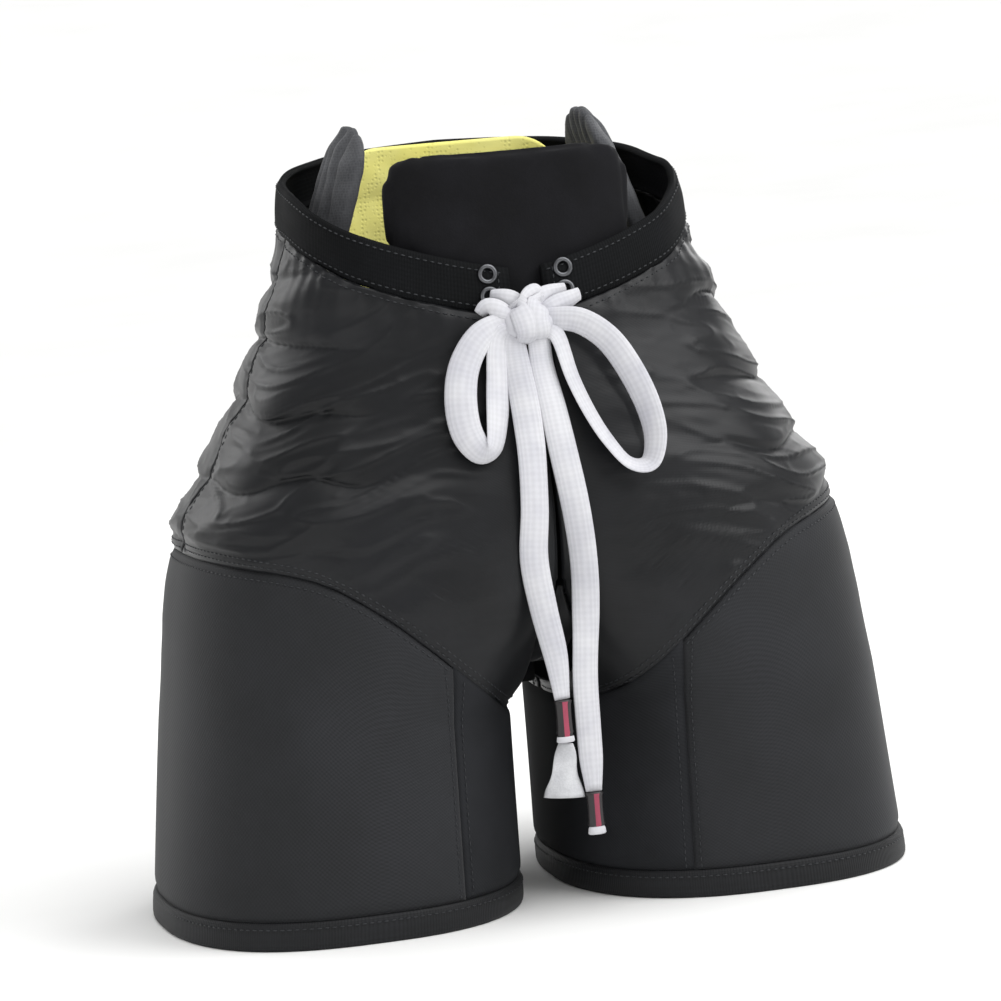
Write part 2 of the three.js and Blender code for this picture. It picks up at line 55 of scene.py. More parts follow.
# Points nearer than this, in metres, are one.
MERGE = 1e-6
LOG = logging.getLogger("hockey_pants")
Array = np.ndarray
Place = Callable[[Array, Array], Array]


class Side(Enum):
    """The wearer's side that a piece belongs to, with the sign of its X."""

    LEFT = ("left", 1)
    RIGHT = ("right", -1)

    @property
    def word(self) -> str:
        """The side's word, as the frame's names use it."""
        return self.value[0]

    @property
    def sign(self) -> int:
        """1 on the wearer's left, -1 on the right."""
        return self.value[1]

    def named(self, stem: str) -> str:
        """The name of this side's copy of a piece."""
        return f"{stem}_{self.word}"

    @property
    def leg(self) -> str:
        """The body that this side's leg pieces ride on."""
        return f"{self.word}_leg"

    @property
    def flip(self) -> Array:
        """What turns a point of the left side to this side's."""
        return np.array([self.sign, 1, 1])


# ---------- The form that every layer follows, in millimetres ----------


def ease(x: Array | float, low: float, high: float) -> Array:
    """A smooth step from 0 at low to 1 at high."""
    t = np.clip((np.asarray(x, float) - low) / (high - low), 0, 1)
    return t * t * (3 - 2 * t)


def mix(a: Array | float, b: Array | float, t: Array | float) -> Array | float:
    """A value between a and b."""
    return a + (b - a) * t


def power(value: Array, exponent: float) -> Array:
    """A power that keeps its sign."""
    return np.sign(value) * np.abs(value) ** exponent


@dataclass(frozen=True)
class Profile:
    """A smooth value along a line of (position, value) knots."""

    knots: tuple[tuple[float, float], ...]

    def at(self, where: Array | float) -> Array:
        """The value at each position.

        Args:
            where: positions, held between the first and the last knot.

        Returns:
            One value for each position.
        """
        xs, ys = np.array(self.knots, float).T
        last = len(xs) - 1
        before, after = np.maximum(np.arange(last + 1) - 1, 0), np.minimum(np.arange(last + 1) + 1, last)
        slope = (ys[after] - ys[before]) / (xs[after] - xs[before])
        x = np.clip(np.asarray(where, float), xs[0], xs[-1])
        i = np.clip(np.searchsorted(xs, x, side="left"), 1, last) - 1
        span = xs[i + 1] - xs[i]
        t = (x - xs[i]) / span
        bend = (t - 2 * t**2 + t**3) * span * slope[i] + (t**3 - t**2) * span * slope[i + 1]
        return mix(ys[i], ys[i + 1], t * t * (3 - 2 * t)) + bend


@dataclass(frozen=True)
class PantsForm:
    """The smooth body whose level sections are rounded ovals, one at the waist and one for each leg."""

    leg_gap: float = 28
    crotch: float = 118
    hip: float = 216
    waist: float = 345
    squareness: float = 2.5
    half_width: Profile = Profile(((0, 221), (130, 206), (216, 192), (280.5, 155.04), (345, 126), (436, 110)))
    half_depth: Profile = Profile(((0, 119), (130, 123), (216, 124), (280.5, 110.5), (345, 94), (436, 86)))
    rim: Profile = Profile(((0, 367), (0.24, 391.5), (0.5, 418), (0.78, 431.5), (1, 436)))
    hip_seam: Profile = Profile(
        ((0, 110), (25, 114), (52, 135.64), (80, 161.12), (108, 184.64), (140, 204.24), (192, 216))
    )
    band_width: float = 27
    seam_gap: float = 0.8
    inseam: float = 67
    gusset_ends: tuple[float, float] = (156, 190)
    gusset_spread: float = 11
    gusset_reach: float = 191
    fly_opens: tuple[float, float] = (288, 306)
    fly_spread: float = 9

    def centre(self, z: Array) -> Array:
        """Where the oval of one side is centred, across."""
        at_crotch = (self.half_width.at(self.crotch) + self.leg_gap / 2) / 2
        rise = (np.asarray(z, float) - self.crotch) / (self.waist - self.crotch)
        above = at_crotch * (1 - ease(rise, -0.35, 1)) / (1 - ease(0, -0.35, 1))
        return np.where(np.asarray(z) <= self.crotch, (self.half_width.at(z) + self.leg_gap / 2) / 2, above)

    def radius(self, z: Array, inset: Array | float) -> Array:
        """Half the oval's width, less the inset."""
        return self.half_width.at(z) - self.centre(z) - inset

    def point(self, z: Array, angle: Array, inset: Array | float) -> Array:
        """Points of the left side.

        Args:
            z: heights.
            angle: degrees round the oval, 0 at the side and negative to the front.
            inset: how far inside the outer surface.

        Returns:
            An array of one point a row.
        """
        a = np.radians(angle)
        x = self.centre(z) + self.radius(z, inset) * power(np.cos(a), 2 / self.squareness)
        y = (self.half_depth.at(z) - inset) * power(np.sin(a), 2 / self.squareness)
        return np.stack(np.broadcast_arrays(x, y, np.asarray(z, float)), axis=-1)

    def angle_at(self, z: Array, x: Array | float, inset: float) -> Array:
        """The angle, without its sign, at which the left side's section reaches x."""
        across = np.clip((x - self.centre(z)) / self.radius(z, inset), -1, 1)
        return np.degrees(np.arccos(power(across, self.squareness / 2)))

    def wall(self, z: Array, x: Array, inset: float) -> Array:
        """How far the front or the back wall stands from the middle plane at x."""
        across = (np.abs(x) - self.centre(z)) / self.radius(z, inset)
        rest = np.maximum(1 - np.abs(across) ** self.squareness, 0)
        return (self.half_depth.at(z) - inset) * rest ** (1 / self.squareness)

    def waist_seam(self, turn: Array) -> Array:
        """The lower edge of the waistband, from the fly (0) round one side to the back (1)."""
        return self.rim.at(turn) - self.band_width

    def gusset_half(self, z: Array) -> Array:
        """How much wider than its tips the gusset is, to one side, at a height."""
        return self.gusset_spread * (1 - ease(z, *self.gusset_ends))

    def panel_start(self, z: Array) -> Array:
        """How far from the middle the upper panels start: at the gusset low down, and at the fly above it."""
        gusset = 1 + self.gusset_half(z) + self.seam_gap
        fly = self.seam_gap / 2 + self.fly_spread * ease(z, *self.fly_opens)
        return np.where(np.asarray(z) < self.gusset_reach, gusset, fly)


FORM = PantsForm()


@dataclass(frozen=True)
class Patch:
    """A panel of the left side between two angles and two seam lines."""

    start: Callable[[Array], Array]
    stop: Callable[[Array], Array]
    bottom: Callable[[Array, Array], Array]
    top: Callable[[Array, Array], Array]
    rest_height: float = 165

    def settle(self, u: Array, v: Array) -> tuple[Array, Array]:
        """Heights and angles of the panel's points, found by settling each on its seam lines.

        Args:
            u: shares of the way round, from start to stop.
            v: shares of the way up, from bottom to top.

        Returns:
            The heights and the angles.
        """
        z = np.full(len(u), self.rest_height, float)
        angle = np.zeros(len(u))
        for _ in range(24):
            angle = mix(self.start(z), self.stop(z), u)
            x = FORM.point(z, angle, 0)[:, 0]
            z = mix(z, mix(self.bottom(x, u), self.top(x, u), v), 0.7)
        return z, angle


# ---------- Folds and creases of the cloth ----------


def noise_at(points: Array, stretch: Sequence[float], seed: float) -> Array:
    """Smooth noise from -1 to 1 at each point.

    Args:
        points: points in millimetres.
        stretch: the size of a lump along X, Y and Z.
        seed: shifts the noise, so that each use has its own.

    Returns:
        One value for each point.
    """
    scaled = points / np.array(stretch, float) + seed
    return np.array([noise.noise(Vector(p)) for p in scaled])


@dataclass(frozen=True)
class SatinFolds:
    """The slumped rolls, creases and gathers of the thin nylon above the legs."""

    roll: float = 6.0
    roll_pitch: float = 37
    roll_side: tuple[float, float] = (66, 128)
    roll_foot: tuple[float, float] = (205, 236)
    roll_top: tuple[float, float] = (350, 384)
    fold: float = 3.0
    crease: float = 1.5
    crease_sharpness: float = 4.2
    wrinkle: float = 0.45
    wrinkle_sharpness: float = 3.6
    gather: float = 0.8
    gather_reach: float = 15
    flat_front: float = 34

    def height(self, points: Array, turn: Array) -> Array:
        """How far the cloth stands out at each point.

        Args:
            points: points of the smooth form, with their own side's sign.
            turn: shares of the way round from the fly (0) to the back (1).

        Returns:
            Millimetres outwards.
        """
        x, z = points[:, 0], points[:, 2]
        side = np.abs(x)
        sag = z + 0.16 * side * ease(side, 30, 150)
        level = np.stack([x, points[:, 1], sag], axis=1)
        warp = noise_at(level, (58, 70, 80), 3.1) * 17
        phase = (z + warp) / self.roll_pitch
        saw = phase - np.floor(phase)
        roll = np.sin(math.pi * saw**0.8) ** 0.75 * self.roll
        roll *= ease(side, *self.roll_side) * ease(z, *self.roll_foot) * (1 - ease(z, *self.roll_top))
        wide = noise_at(level, (70, 60, 19), 7.7) * self.fold
        ridge = noise_at(level + np.stack([warp * 0.5] * 3, axis=1), (58, 60, 12), 12.3)
        ridge = np.maximum(0, 1 - np.abs(ridge) * self.crease_sharpness) ** 2 * self.crease
        fine = noise_at(level, (30, 34, 6.5), 21.9)
        fine = np.maximum(0, 1 - np.abs(fine) * self.wrinkle_sharpness) ** 2 * self.wrinkle
        busy = 0.5 + 0.5 * ease(side, 40, 90) * (1 - 0.6 * ease(z, 300, 340))
        low = ease(z, 128, 175)
        pleat = np.sin(turn * 150 + noise_at(points, (40, 40, 60), 31.0) * 3.5)
        below_band = np.maximum(FORM.waist_seam(turn) - z, 0)
        gather = (pleat * 0.5 + 0.5) * self.gather * np.exp(-below_band / self.gather_reach)
        calm = mix(0.22, 1, ease(side, self.flat_front * 0.6, self.flat_front * 1.7))
        return (roll + (np.maximum(wide, -0.6) + ridge * busy + fine * busy) * low + gather) * calm + 0.15


@dataclass(frozen=True)
class LegSwell:
    """The calm swell of the stiff cloth over the thigh guards."""

    swell: float = 1.0

    def height(self, points: Array, turn: Array) -> Array:
        """How far the cloth stands out at each point, in millimetres."""
        slow = noise_at(points, (85, 85, 120), 41.0) * self.swell
        ripple = noise_at(points, (60, 60, 16), 52.0) * 0.5 * ease(points[:, 2], 130, 190)
        return slow * 0.6 + ripple + 0.4


def edge_dip(share: Array, length: float, depth: float = 1.7, reach: float = 3.2) -> Array:
    """How far cloth dips into the seams at both ends of a stretch.

    Args:
        share: shares of the way along the stretch.
        length: the stretch's length in millimetres.
        depth: how deep the seam lies.
        reach: how far from the seam the dip starts.

    Returns:
        Millimetres inwards.
    """
    near = np.minimum(share, 1 - share) * length
    return depth * np.exp(-((near / reach) ** 2))


# ---------- Mesh making ----------


def new_object(name: str, bm: bmesh.types.BMesh) -> bpy.types.Object:
    """Turns a bmesh into an object of the scene, shaded smooth.

    Args:
        name: the object's name.
        bm: the mesh, in metres in the row frame; it is freed.

    Returns:
        The new object.
    """
    mesh = bpy.data.meshes.new(name)
    for face in bm.faces:
        face.smooth = True
    bm.to_mesh(mesh)
    bm.free()
    obj = bpy.data.objects.new(name, mesh)
    bpy.context.scene.collection.objects.link(obj)
    return obj


def grid_mesh(across: int, up: int, place: Place, size: tuple[float, float]) -> bmesh.types.BMesh:
    """A grid whose points are put in place by a function, with a UV map in millimetres.

    Args:
        across: faces along u.
        up: faces along v.
        place: gives points in millimetres from u and v.
        size: the cloth's width and height in millimetres, for the UV map.

    Returns:
        The mesh, in metres.
    """
    bm = bmesh.new()
    layer = bm.loops.layers.uv.new("cloth")
    bmesh.ops.create_grid(bm, x_segments=across, y_segments=up, size=0.5)
    for face in bm.faces:
        for loop in face.loops:
            share = loop.vert.co
            loop[layer].uv = ((share.x + 0.5) * size[0], (share.y + 0.5) * size[1])
    shares = np.array([v.co.xy for v in bm.verts]) + 0.5
    for vert, point in zip(bm.verts, place(shares[:, 0], shares[:, 1]) * MM, strict=True):
        vert.co = point
    return bm


def mirrored(place: Place, side: Side) -> Place:
    """The place function for a side: the right runs the other way round, so faces still look out."""
    if side is Side.LEFT:
        return place
    return lambda u, v: place(1 - u, v) * side.flip


def thicken(obj: bpy.types.Object, thickness: float) -> None:
    """Gives cloth its thickness, inwards, in millimetres."""
    solid = obj.modifiers.new("thickness", "SOLIDIFY")
    solid.thickness, solid.offset = thickness * MM, -1
    solid.use_rim = True


def applied(obj: bpy.types.Object) -> None:
    """Keeps what the piece's modifiers make as its own mesh, and drops them."""
    bpy.context.view_layer.update()
    graph = bpy.context.evaluated_depsgraph_get()
    mesh = bpy.data.meshes.new_from_object(obj.evaluated_get(graph), depsgraph=graph)
    obj.modifiers.clear()
    obj.data = mesh


def coordinates(obj: bpy.types.Object) -> Array:
    """The mesh's points, one a row, in metres."""
    flat = np.zeros(len(obj.data.vertices) * 3)
    obj.data.vertices.foreach_get("co", flat)
    return flat.reshape(-1, 3)


def put_coordinates(obj: bpy.types.Object, points: Array) -> None:
    """Moves the mesh's points."""
    obj.data.vertices.foreach_set("co", points.ravel())
    obj.data.update()


def puff(obj: bpy.types.Object, voxel: float, cap: float, pressure: float = 4.0, frames: int = 20) -> None:
    """Blows a closed slab up into a pad by cloth simulation, and keeps the result.

    Args:
        obj: the slab, a little smaller than the pad.
        voxel: the size of the remeshed faces, in millimetres.
        cap: the furthest that a point may move, in millimetres.
        pressure: the air inside.
        frames: how long it is blown up.
    """
    remesh = obj.modifiers.new("remesh", "REMESH")
    remesh.mode, remesh.voxel_size = "VOXEL", voxel * MM
    applied(obj)
    before = coordinates(obj)
    cloth = obj.modifiers.new("cloth", "CLOTH")
    cloth.settings.use_pressure = True
    cloth.settings.uniform_pressure_force = pressure
    cloth.settings.tension_stiffness = cloth.settings.compression_stiffness = 8
    cloth.settings.effector_weights.gravity = 0
    cloth.point_cache.frame_start, cloth.point_cache.frame_end = 1, frames
    scene = bpy.context.scene
    for step in range(1, frames + 1):
        scene.frame_set(step)
    graph = bpy.context.evaluated_depsgraph_get()
    blown = np.zeros(len(before) * 3)
    obj.evaluated_get(graph).data.vertices.foreach_get("co", blown)
    obj.modifiers.clear()
    scene.frame_set(1)
    move = blown.reshape(-1, 3) - before
    far = np.maximum(np.linalg.norm(move, axis=1, keepdims=True), 1e-9)
    put_coordinates(obj, before + move * np.minimum(1, cap * MM / far))
    finer = obj.modifiers.new("finer", "SUBSURF")
    finer.levels = finer.render_levels = 1
    applied(obj)
    obj.data.shade_smooth()


def poured(bm: bmesh.types.BMesh, other: bmesh.types.BMesh) -> None:
    """Adds the other mesh's faces to a mesh, and frees the other."""
    spare = bpy.data.meshes.new("spare")
    other.to_mesh(spare)
    other.free()
    bm.from_mesh(spare)
    bpy.data.meshes.remove(spare)


def turned(profile: Sequence[tuple[float, float]], steps: int, closed: bool) -> bmesh.types.BMesh:
    """A body of revolution about Z.

    Args:
        profile: its (radius, height) points in millimetres.
        steps: faces round it.
        closed: whether the last point joins the first; if not, both lie on the axis.

    Returns:
        The mesh, in metres.
    """
    bm = bmesh.new()
    ring = [bm.verts.new((radius * MM, 0, height * MM)) for radius, height in profile]
    edges = [bm.edges.new(pair) for pair in zip(ring, ring[1:] + ring[:1] if closed else ring[1:])]
    bmesh.ops.spin(
        bm, geom=ring + edges, cent=(0, 0, 0), axis=(0, 0, 1), angle=2 * math.pi, steps=steps, use_merge=True
    )
    if not closed:
        bmesh.ops.remove_doubles(bm, verts=bm.verts, dist=MERGE)
    bmesh.ops.recalc_face_normals(bm, faces=bm.faces)
    return bm


def slab_mesh(across: int, up: int, outer: Place, inner: Place) -> bmesh.types.BMesh:
    """A closed slab between an outer and an inner face.

    Args:
        across: faces along u.
        up: faces along v.
        outer: places the face that looks out.
        inner: places the face behind it.

    Returns:
        The mesh, in metres.
    """
    bm = grid_mesh(across, up, outer, (1, 1))
    back = grid_mesh(across, up, inner, (1, 1))
    bmesh.ops.reverse_faces(back, faces=back.faces)
    poured(bm, back)
    bmesh.ops.bridge_loops(bm, edges=[e for e in bm.edges if e.is_boundary])
    bmesh.ops.recalc_face_normals(bm, faces=bm.faces)
    return bm


def smooth_line(points: Sequence[Sequence[float]], per_span: int = 8) -> Array:
    """A smooth line through points, with even steps in each span.

    Args:
        points: the route's points in millimetres.
        per_span: steps between two of them.

    Returns:
        One point a row.
    """
    p = np.array(points, float)
    ends = np.vstack([2 * p[0] - p[1], p, 2 * p[-1] - p[-2]])
    line = []
    for i in range(1, len(ends) - 2):
        for t in np.arange(per_span) / per_span:
            a, b, c, d = ends[i - 1 : i + 3]
            square, cube = 2 * a - 5 * b + 4 * c - d, 3 * b - a - 3 * c + d
            line.append(0.5 * (2 * b + (c - a) * t + square * t**2 + cube * t**3))
    return np.vstack([line, p[-1:]])


@dataclass(frozen=True)
class Ribbon:
    """A flat woven ribbon that follows a line."""

    width: float = 13
    thickness: float = 2.4
    sides: int = 14
    cup: float = 0.9
    roundness: float = 0.75

    def mesh(
        self, line: Array, facing: Callable[[Array], Array], widths: Callable[[Array], Array]
    ) -> bmesh.types.BMesh:
        """Makes the ribbon as one closed tube of a flat section.

        Args:
            line: the middle of the ribbon, in millimetres.
            facing: degrees by which the flat side turns away from the front, from shares along the line.
            widths: times the ribbon's width, from shares along the line.

        Returns:
            The mesh, in metres.
        """
        steps = len(line) - 1
        tangent = np.gradient(line, axis=0)
        tangent /= np.linalg.norm(tangent, axis=1, keepdims=True)
        front = np.tile([0.0, -1.0, 0.0], (steps + 1, 1))
        flat = np.cross(front, tangent)
        flat /= np.maximum(np.linalg.norm(flat, axis=1, keepdims=True), 1e-6)
        front = np.cross(tangent, flat)
        share = np.linspace(0, 1, steps + 1)
        turn = np.radians(facing(share))[:, None]
        across = flat * np.cos(turn) + front * np.sin(turn)
        out = np.cross(tangent, across)
        wide = widths(share) * self.width / 2

        def place(u: Array, v: Array) -> Array:
            """Points round the section, and along the line."""
            i = np.rint(v * steps).astype(int)
            a = u * 2 * math.pi
            sideways = power(np.cos(a), self.roundness) * wide[i]
            cupped = self.cup * (sideways / self.width * 2) ** 2
            bulge = power(np.sin(a), self.roundness) * self.thickness / 2 - cupped
            return line[i] + across[i] * sideways[:, None] + out[i] * bulge[:, None]

        length = float(np.linalg.norm(np.diff(line, axis=0), axis=1).sum())
        bm = grid_mesh(self.sides, steps, place, (self.width * 2, length))
        bmesh.ops.remove_doubles(bm, verts=bm.verts, dist=MERGE)
        bmesh.ops.holes_fill(bm, edges=[e for e in bm.edges if e.is_boundary], sides=0)
        bmesh.ops.recalc_face_normals(bm, faces=bm.faces)
        return bm


@dataclass(frozen=True)
class Stitching:
    """A row of short thread stitches that lies on cloth."""

    pitch: float = 4.2
    length: float = 3.0
    radius: float = 0.42
    flatness: float = 0.8
    raised: float = 0.45

    def add(self, bm: bmesh.types.BMesh, line: Array, lift: Array) -> None:
        """Adds a row of stitches to a mesh.

        Args:
            bm: the mesh that takes them.
            line: the row's line, in millimetres.
            lift: the way out of the cloth at each of its points.
        """
        along = np.concatenate([[0], np.cumsum(np.linalg.norm(np.diff(line, axis=0), axis=1))])
        for at in np.arange(self.pitch / 2, along[-1] - self.pitch / 2, self.pitch):
            spot, ahead, behind = (
                Vector([np.interp(at + step, along, line[:, k]) for k in range(3)])
                for step in (0, self.length / 2, -self.length / 2)
            )
            out = Vector([np.interp(at, along, lift[:, k]) for k in range(3)]).normalized()
            way = (ahead - behind).normalized()
            aside = way.cross(out).normalized()
            turn = Matrix((way, aside, way.cross(aside))).transposed().to_4x4()
            stretch = Matrix.Diagonal((self.length / 2 / self.radius, 1, self.flatness, 1))
            shape = Matrix.Translation((spot + out * self.radius * self.raised) * MM) @ turn @ stretch
            bmesh.ops.create_icosphere(bm, subdivisions=1, radius=self.radius * MM, matrix=shape)


# ---------- Finishes ----------


class Pattern(Enum):
    """How a finish's surface was made."""

    TWILL = "twill"
    PLAIN = "plain"
    RIB = "rib"
    KNIT = "knit"
    MESH = "mesh"
    GRAIN = "grain"


def linear(code: str) -> tuple[float, float, float, float]:
    """Turns an sRGB hex colour to linear red, green, blue and alpha."""
    parts = (int(code[i : i + 2], 16) / 255 for i in (1, 3, 5))
    return (*(p / 12.92 if p <= 0.04045 else ((p + 0.055) / 1.055) ** 2.4 for p in parts), 1.0)


def add_node(
    tree: bpy.types.NodeTree,
    kind: str,
    settings: dict[str, object] | None = None,
    values: dict[str | int, object] | None = None,
    links: dict[str | int, bpy.types.NodeSocket] | None = None,
) -> bpy.types.Node:
    """Adds a node with its settings and links.

    Args:
        tree: the node tree.
        kind: the node's type, without its ShaderNode prefix.
        settings: attributes of the node.
        values: values of inputs.
        links: output sockets that feed inputs.

    Returns:
        The node.
    """
    made = tree.nodes.new("ShaderNode" + kind)
    for name, value in (settings or {}).items():
        setattr(made, name, value)
    for name, value in (values or {}).items():
        made.inputs[name].default_value = value
    for name, socket in (links or {}).items():
        tree.links.new(socket, made.inputs[name])
    return made


def sine(tree: bpy.types.NodeTree, socket: bpy.types.NodeSocket, pitch: float) -> bpy.types.NodeSocket:
    """A wave of the given pitch, in the socket's own unit."""
    scaled = add_node(tree, "Math", {"operation": "MULTIPLY"}, {1: 2 * math.pi / pitch}, {0: socket})
    return add_node(tree, "Math", {"operation": "SINE"}, links={0: scaled.outputs[0]}).outputs[0]


@dataclass(frozen=True)
class Finish:
    """A cloth, foam, plastic or metal surface.

    Sizes are in millimetres: pitch is the spacing of its threads or grains, and patch the size of its
    slow changes of colour.
    """

    name: str
    slot: str
    colour: str
    shade: str
    roughness: float
    pattern: Pattern
    pitch: float
    relief: float
    on_cloth_map: bool = False
    sheen: float = 0.0
    metallic: float = 0.0
    coat: float = 0.0
    patch: float = 45.0
    rough_swing: float = 0.08
    # Painted shade: the share by which the colour is darkened in the hollows between threads, grains and mesh holes.
    hollow_shade: float = 0.35
    gloss: float = 0.5

    def threads(self, tree: bpy.types.NodeTree, where: bpy.types.NodeSocket) -> bpy.types.NodeSocket:
        """The height of threads or grains, about 0 to 1."""
        if self.pattern in (Pattern.TWILL, Pattern.PLAIN, Pattern.RIB):
            axes = add_node(tree, "SeparateXYZ", links={0: where})
            x, y, z = axes.outputs
            level = add_node(tree, "Math", {"operation": "ADD"}, links={0: y, 1: z}).outputs[0]
            if self.pattern is Pattern.TWILL:
                slant = add_node(tree, "Math", {"operation": "ADD"}, links={0: x, 1: level}).outputs[0]
                wave = sine(tree, slant, self.pitch * 1.5)
            elif self.pattern is Pattern.RIB:
                slant = sine(tree, x, self.pitch)
                cross = sine(tree, level, self.pitch * 1.6)
                half = add_node(tree, "Math", {"operation": "MULTIPLY"}, {1: 0.6}, {0: cross})
                wave = add_node(tree, "Math", {"operation": "ADD"}, links={0: slant, 1: half.outputs[0]}).outputs[0]
            else:
                pair = {0: sine(tree, x, self.pitch * 2), 1: sine(tree, level, self.pitch * 2)}
                wave = add_node(tree, "Math", {"operation": "MULTIPLY"}, links=pair).outputs[0]
            return add_node(tree, "Math", {"operation": "MULTIPLY_ADD"}, {1: 0.5, 2: 0.5}, {0: wave}).outputs[0]
        if self.pattern in (Pattern.KNIT, Pattern.MESH):
            holes = {"Scale": 1 / self.pitch, "Randomness": 0.35}
            cells = add_node(tree, "TexVoronoi", values=holes, links={"Vector": where})
            low, high = (0.15, 0.4) if self.pattern is Pattern.MESH else (0.0, 0.75)
            edge = {"From Min": low, "From Max": high}
            return add_node(tree, "MapRange", values=edge, links={"Value": cells.outputs["Distance"]}).outputs[0]
        grain = {"Scale": 1 / self.pitch, "Detail": 3.0, "Roughness": 0.6}
        return add_node(tree, "TexNoise", values=grain, links={"Vector": where}).outputs[0]

    def material(self) -> bpy.types.Material:
        """Builds the finish's material."""
        made = bpy.data.materials.new(self.name)
        made.use_nodes = True
        tree = made.node_tree
        tree.nodes.clear()
        raw = add_node(tree, "TexCoord").outputs["Object"]
        frame_mm = add_node(tree, "Mapping", values={"Scale": (1 / MM,) * 3}, links={"Vector": raw}).outputs[0]
        cloth_map = add_node(tree, "UVMap", {"uv_map": "cloth"}).outputs["UV"] if self.on_cloth_map else None
        slow = {"Scale": 1 / self.patch, "Detail": 4.0, "Roughness": 0.55}
        cloud = add_node(tree, "TexNoise", values=slow, links={"Vector": frame_mm}).outputs[0]
        height = self.threads(tree, cloth_map or frame_mm)
        middle = {"From Min": 0.35, "From Max": 0.7}
        blend = add_node(tree, "MapRange", values=middle, links={"Value": cloud}).outputs[0]
        tone = add_node(
            tree, "Mix", {"data_type": "RGBA"}, {6: linear(self.colour), 7: linear(self.shade)}, {0: blend}
        ).outputs[2]
        # Painted shade: the colour darkens where the thread or grain height is low, as shade in the hollows.
        dark = {"From Min": 0.0, "From Max": 1.0, "To Min": 1 - self.hollow_shade, "To Max": 1.0}
        depth = add_node(tree, "MapRange", values=dark, links={"Value": height}).outputs[0]
        colour = add_node(tree, "VectorMath", {"operation": "SCALE"}, links={0: tone, "Scale": depth}).outputs[0]
        swing = {"To Min": self.roughness - self.rough_swing, "To Max": self.roughness + self.rough_swing}
        rough = add_node(tree, "MapRange", values=swing, links={"Value": cloud}).outputs[0]
        bump = add_node(
            tree, "Bump", values={"Strength": 0.6, "Distance": self.relief * MM}, links={"Height": height}
        ).outputs[0]
        shader = add_node(
            tree,
            "BsdfPrincipled",
            values={
                "Metallic": self.metallic,
                "Sheen Weight": self.sheen,
                "Sheen Roughness": 0.45,
                "Specular IOR Level": self.gloss,
                "Coat Weight": self.coat,
                "Coat Roughness": 0.25,
            },
            links={"Base Color": colour, "Roughness": rough, "Normal": bump},
        )
        add_node(tree, "OutputMaterial", links={"Surface": shader.outputs[0]})
        return made


# Calendered satin nylon: slippery and tightly woven, so its folds catch long soft highlights.
SATIN = Finish("calendered_satin_nylon", "shell_nylon", "#101113", "#17181b", 0.4, Pattern.TWILL, 1.2, 0.02,
               on_cloth_map=True, sheen=0.03, patch=60, rough_swing=0.05, hollow_shade=0.15, gloss=0.24)
# Coated 600 denier nylon: a matt plain weave, greyer and stiffer. Its 0.5 mm threads are drawn at 1 mm to show.
CORDURA = Finish("coated_plain_weave_nylon", "thigh_nylon", "#232426", "#2b2c2f", 0.66, Pattern.PLAIN, 1.1, 0.12,
                 on_cloth_map=True, sheen=0.05, patch=70, hollow_shade=0.35, gloss=0.18)
# Brushed nylon between the legs: matt and near black, so it stays quiet beside the satin.
BRUSHED = Finish("brushed_nylon", "shell_nylon", "#232426", "#2b2c2f", 0.82, Pattern.TWILL, 1.2, 0.05,
                 on_cloth_map=True, patch=60, hollow_shade=0.2, gloss=0.1)
# Woven polyester tape: ribbed along its length, flat and dark.
TAPE = Finish("ribbed_polyester_tape", "binding", "#141517", "#1b1c1f", 0.62, Pattern.RIB, 1.6, 0.2,
              on_cloth_map=True, sheen=0.03, hollow_shade=0.35, gloss=0.25)
# The same tape washed to a matt near black, for the waist.
WAIST_TAPE = Finish("matt_waist_tape", "binding", "#0e0f10", "#151618", 0.75, Pattern.RIB, 1.6, 0.2,
                    on_cloth_map=True, hollow_shade=0.35, gloss=0.08)
# Brushed tricot over foam: a short nap that swallows light.
TRICOT = Finish("brushed_tricot", "pad_cover", "#141416", "#1b1b1e", 0.86, Pattern.GRAIN, 1.3, 0.14,
                sheen=0.03, patch=30, hollow_shade=0.35, gloss=0.1)
# Warp knit over channelled foam: mid grey with a visible stitch.
WING_KNIT = Finish("warp_knit", "wing_cover", "#47484b", "#595a5d", 0.72, Pattern.KNIT, 1.5, 0.25,
                   sheen=0.06, patch=22, hollow_shade=0.4, gloss=0.2)
# Open tricot lining in bright yellow, with small round holes.
LINING = Finish("open_tricot_lining", "lining_cloth", "#fff99a", "#f8f080", 0.8, Pattern.MESH, 2.6, 0.3,
                sheen=0.1, patch=35, hollow_shade=0.14, gloss=0.2)
# Spacer mesh inside the legs: dark, with round holes darkened by painted shade.
SPACER = Finish("spacer_mesh", "mesh_lining", "#37383b", "#424346", 0.85, Pattern.MESH, 3.0, 0.4, hollow_shade=0.6)
# Cut polyethylene foam: charcoal, with a fine closed cell.
FOAM = Finish("cut_polyethylene_foam", "foam", "#2f3032", "#3a3b3d", 0.9, Pattern.GRAIN, 1.4, 0.2, hollow_shade=0.15)
# Moulded high-density polyethylene: a faint orange-peel grain.
GUARD = Finish("moulded_polyethylene", "guard_plastic", "#1d1f22", "#26282b", 0.45, Pattern.GRAIN, 1.8, 0.08,
               patch=80, hollow_shade=0.1)
# Black-nickel-plated brass: dark and smooth.
NICKEL = Finish("black_nickel_plate", "nickel", "#6a6b6e", "#58595c", 0.34, Pattern.GRAIN, 3.0, 0.02, metallic=1.0,
                hollow_shade=0.1)
# Tubular cotton lace: a soft white rib with shadows between its rows.
COTTON = Finish("tubular_cotton_lace", "lace_cotton", "#c9c9cd", "#babac1", 0.85, Pattern.RIB, 1.7, 0.1,
                on_cloth_map=True, sheen=0.1, patch=18, hollow_shade=0.08)
COTTON_END = Finish("frayed_cotton", "lace_cotton", "#d2d3d6", "#bfc0c4", 0.9, Pattern.GRAIN, 1.0, 0.3,
                    patch=9, hollow_shade=0.3)
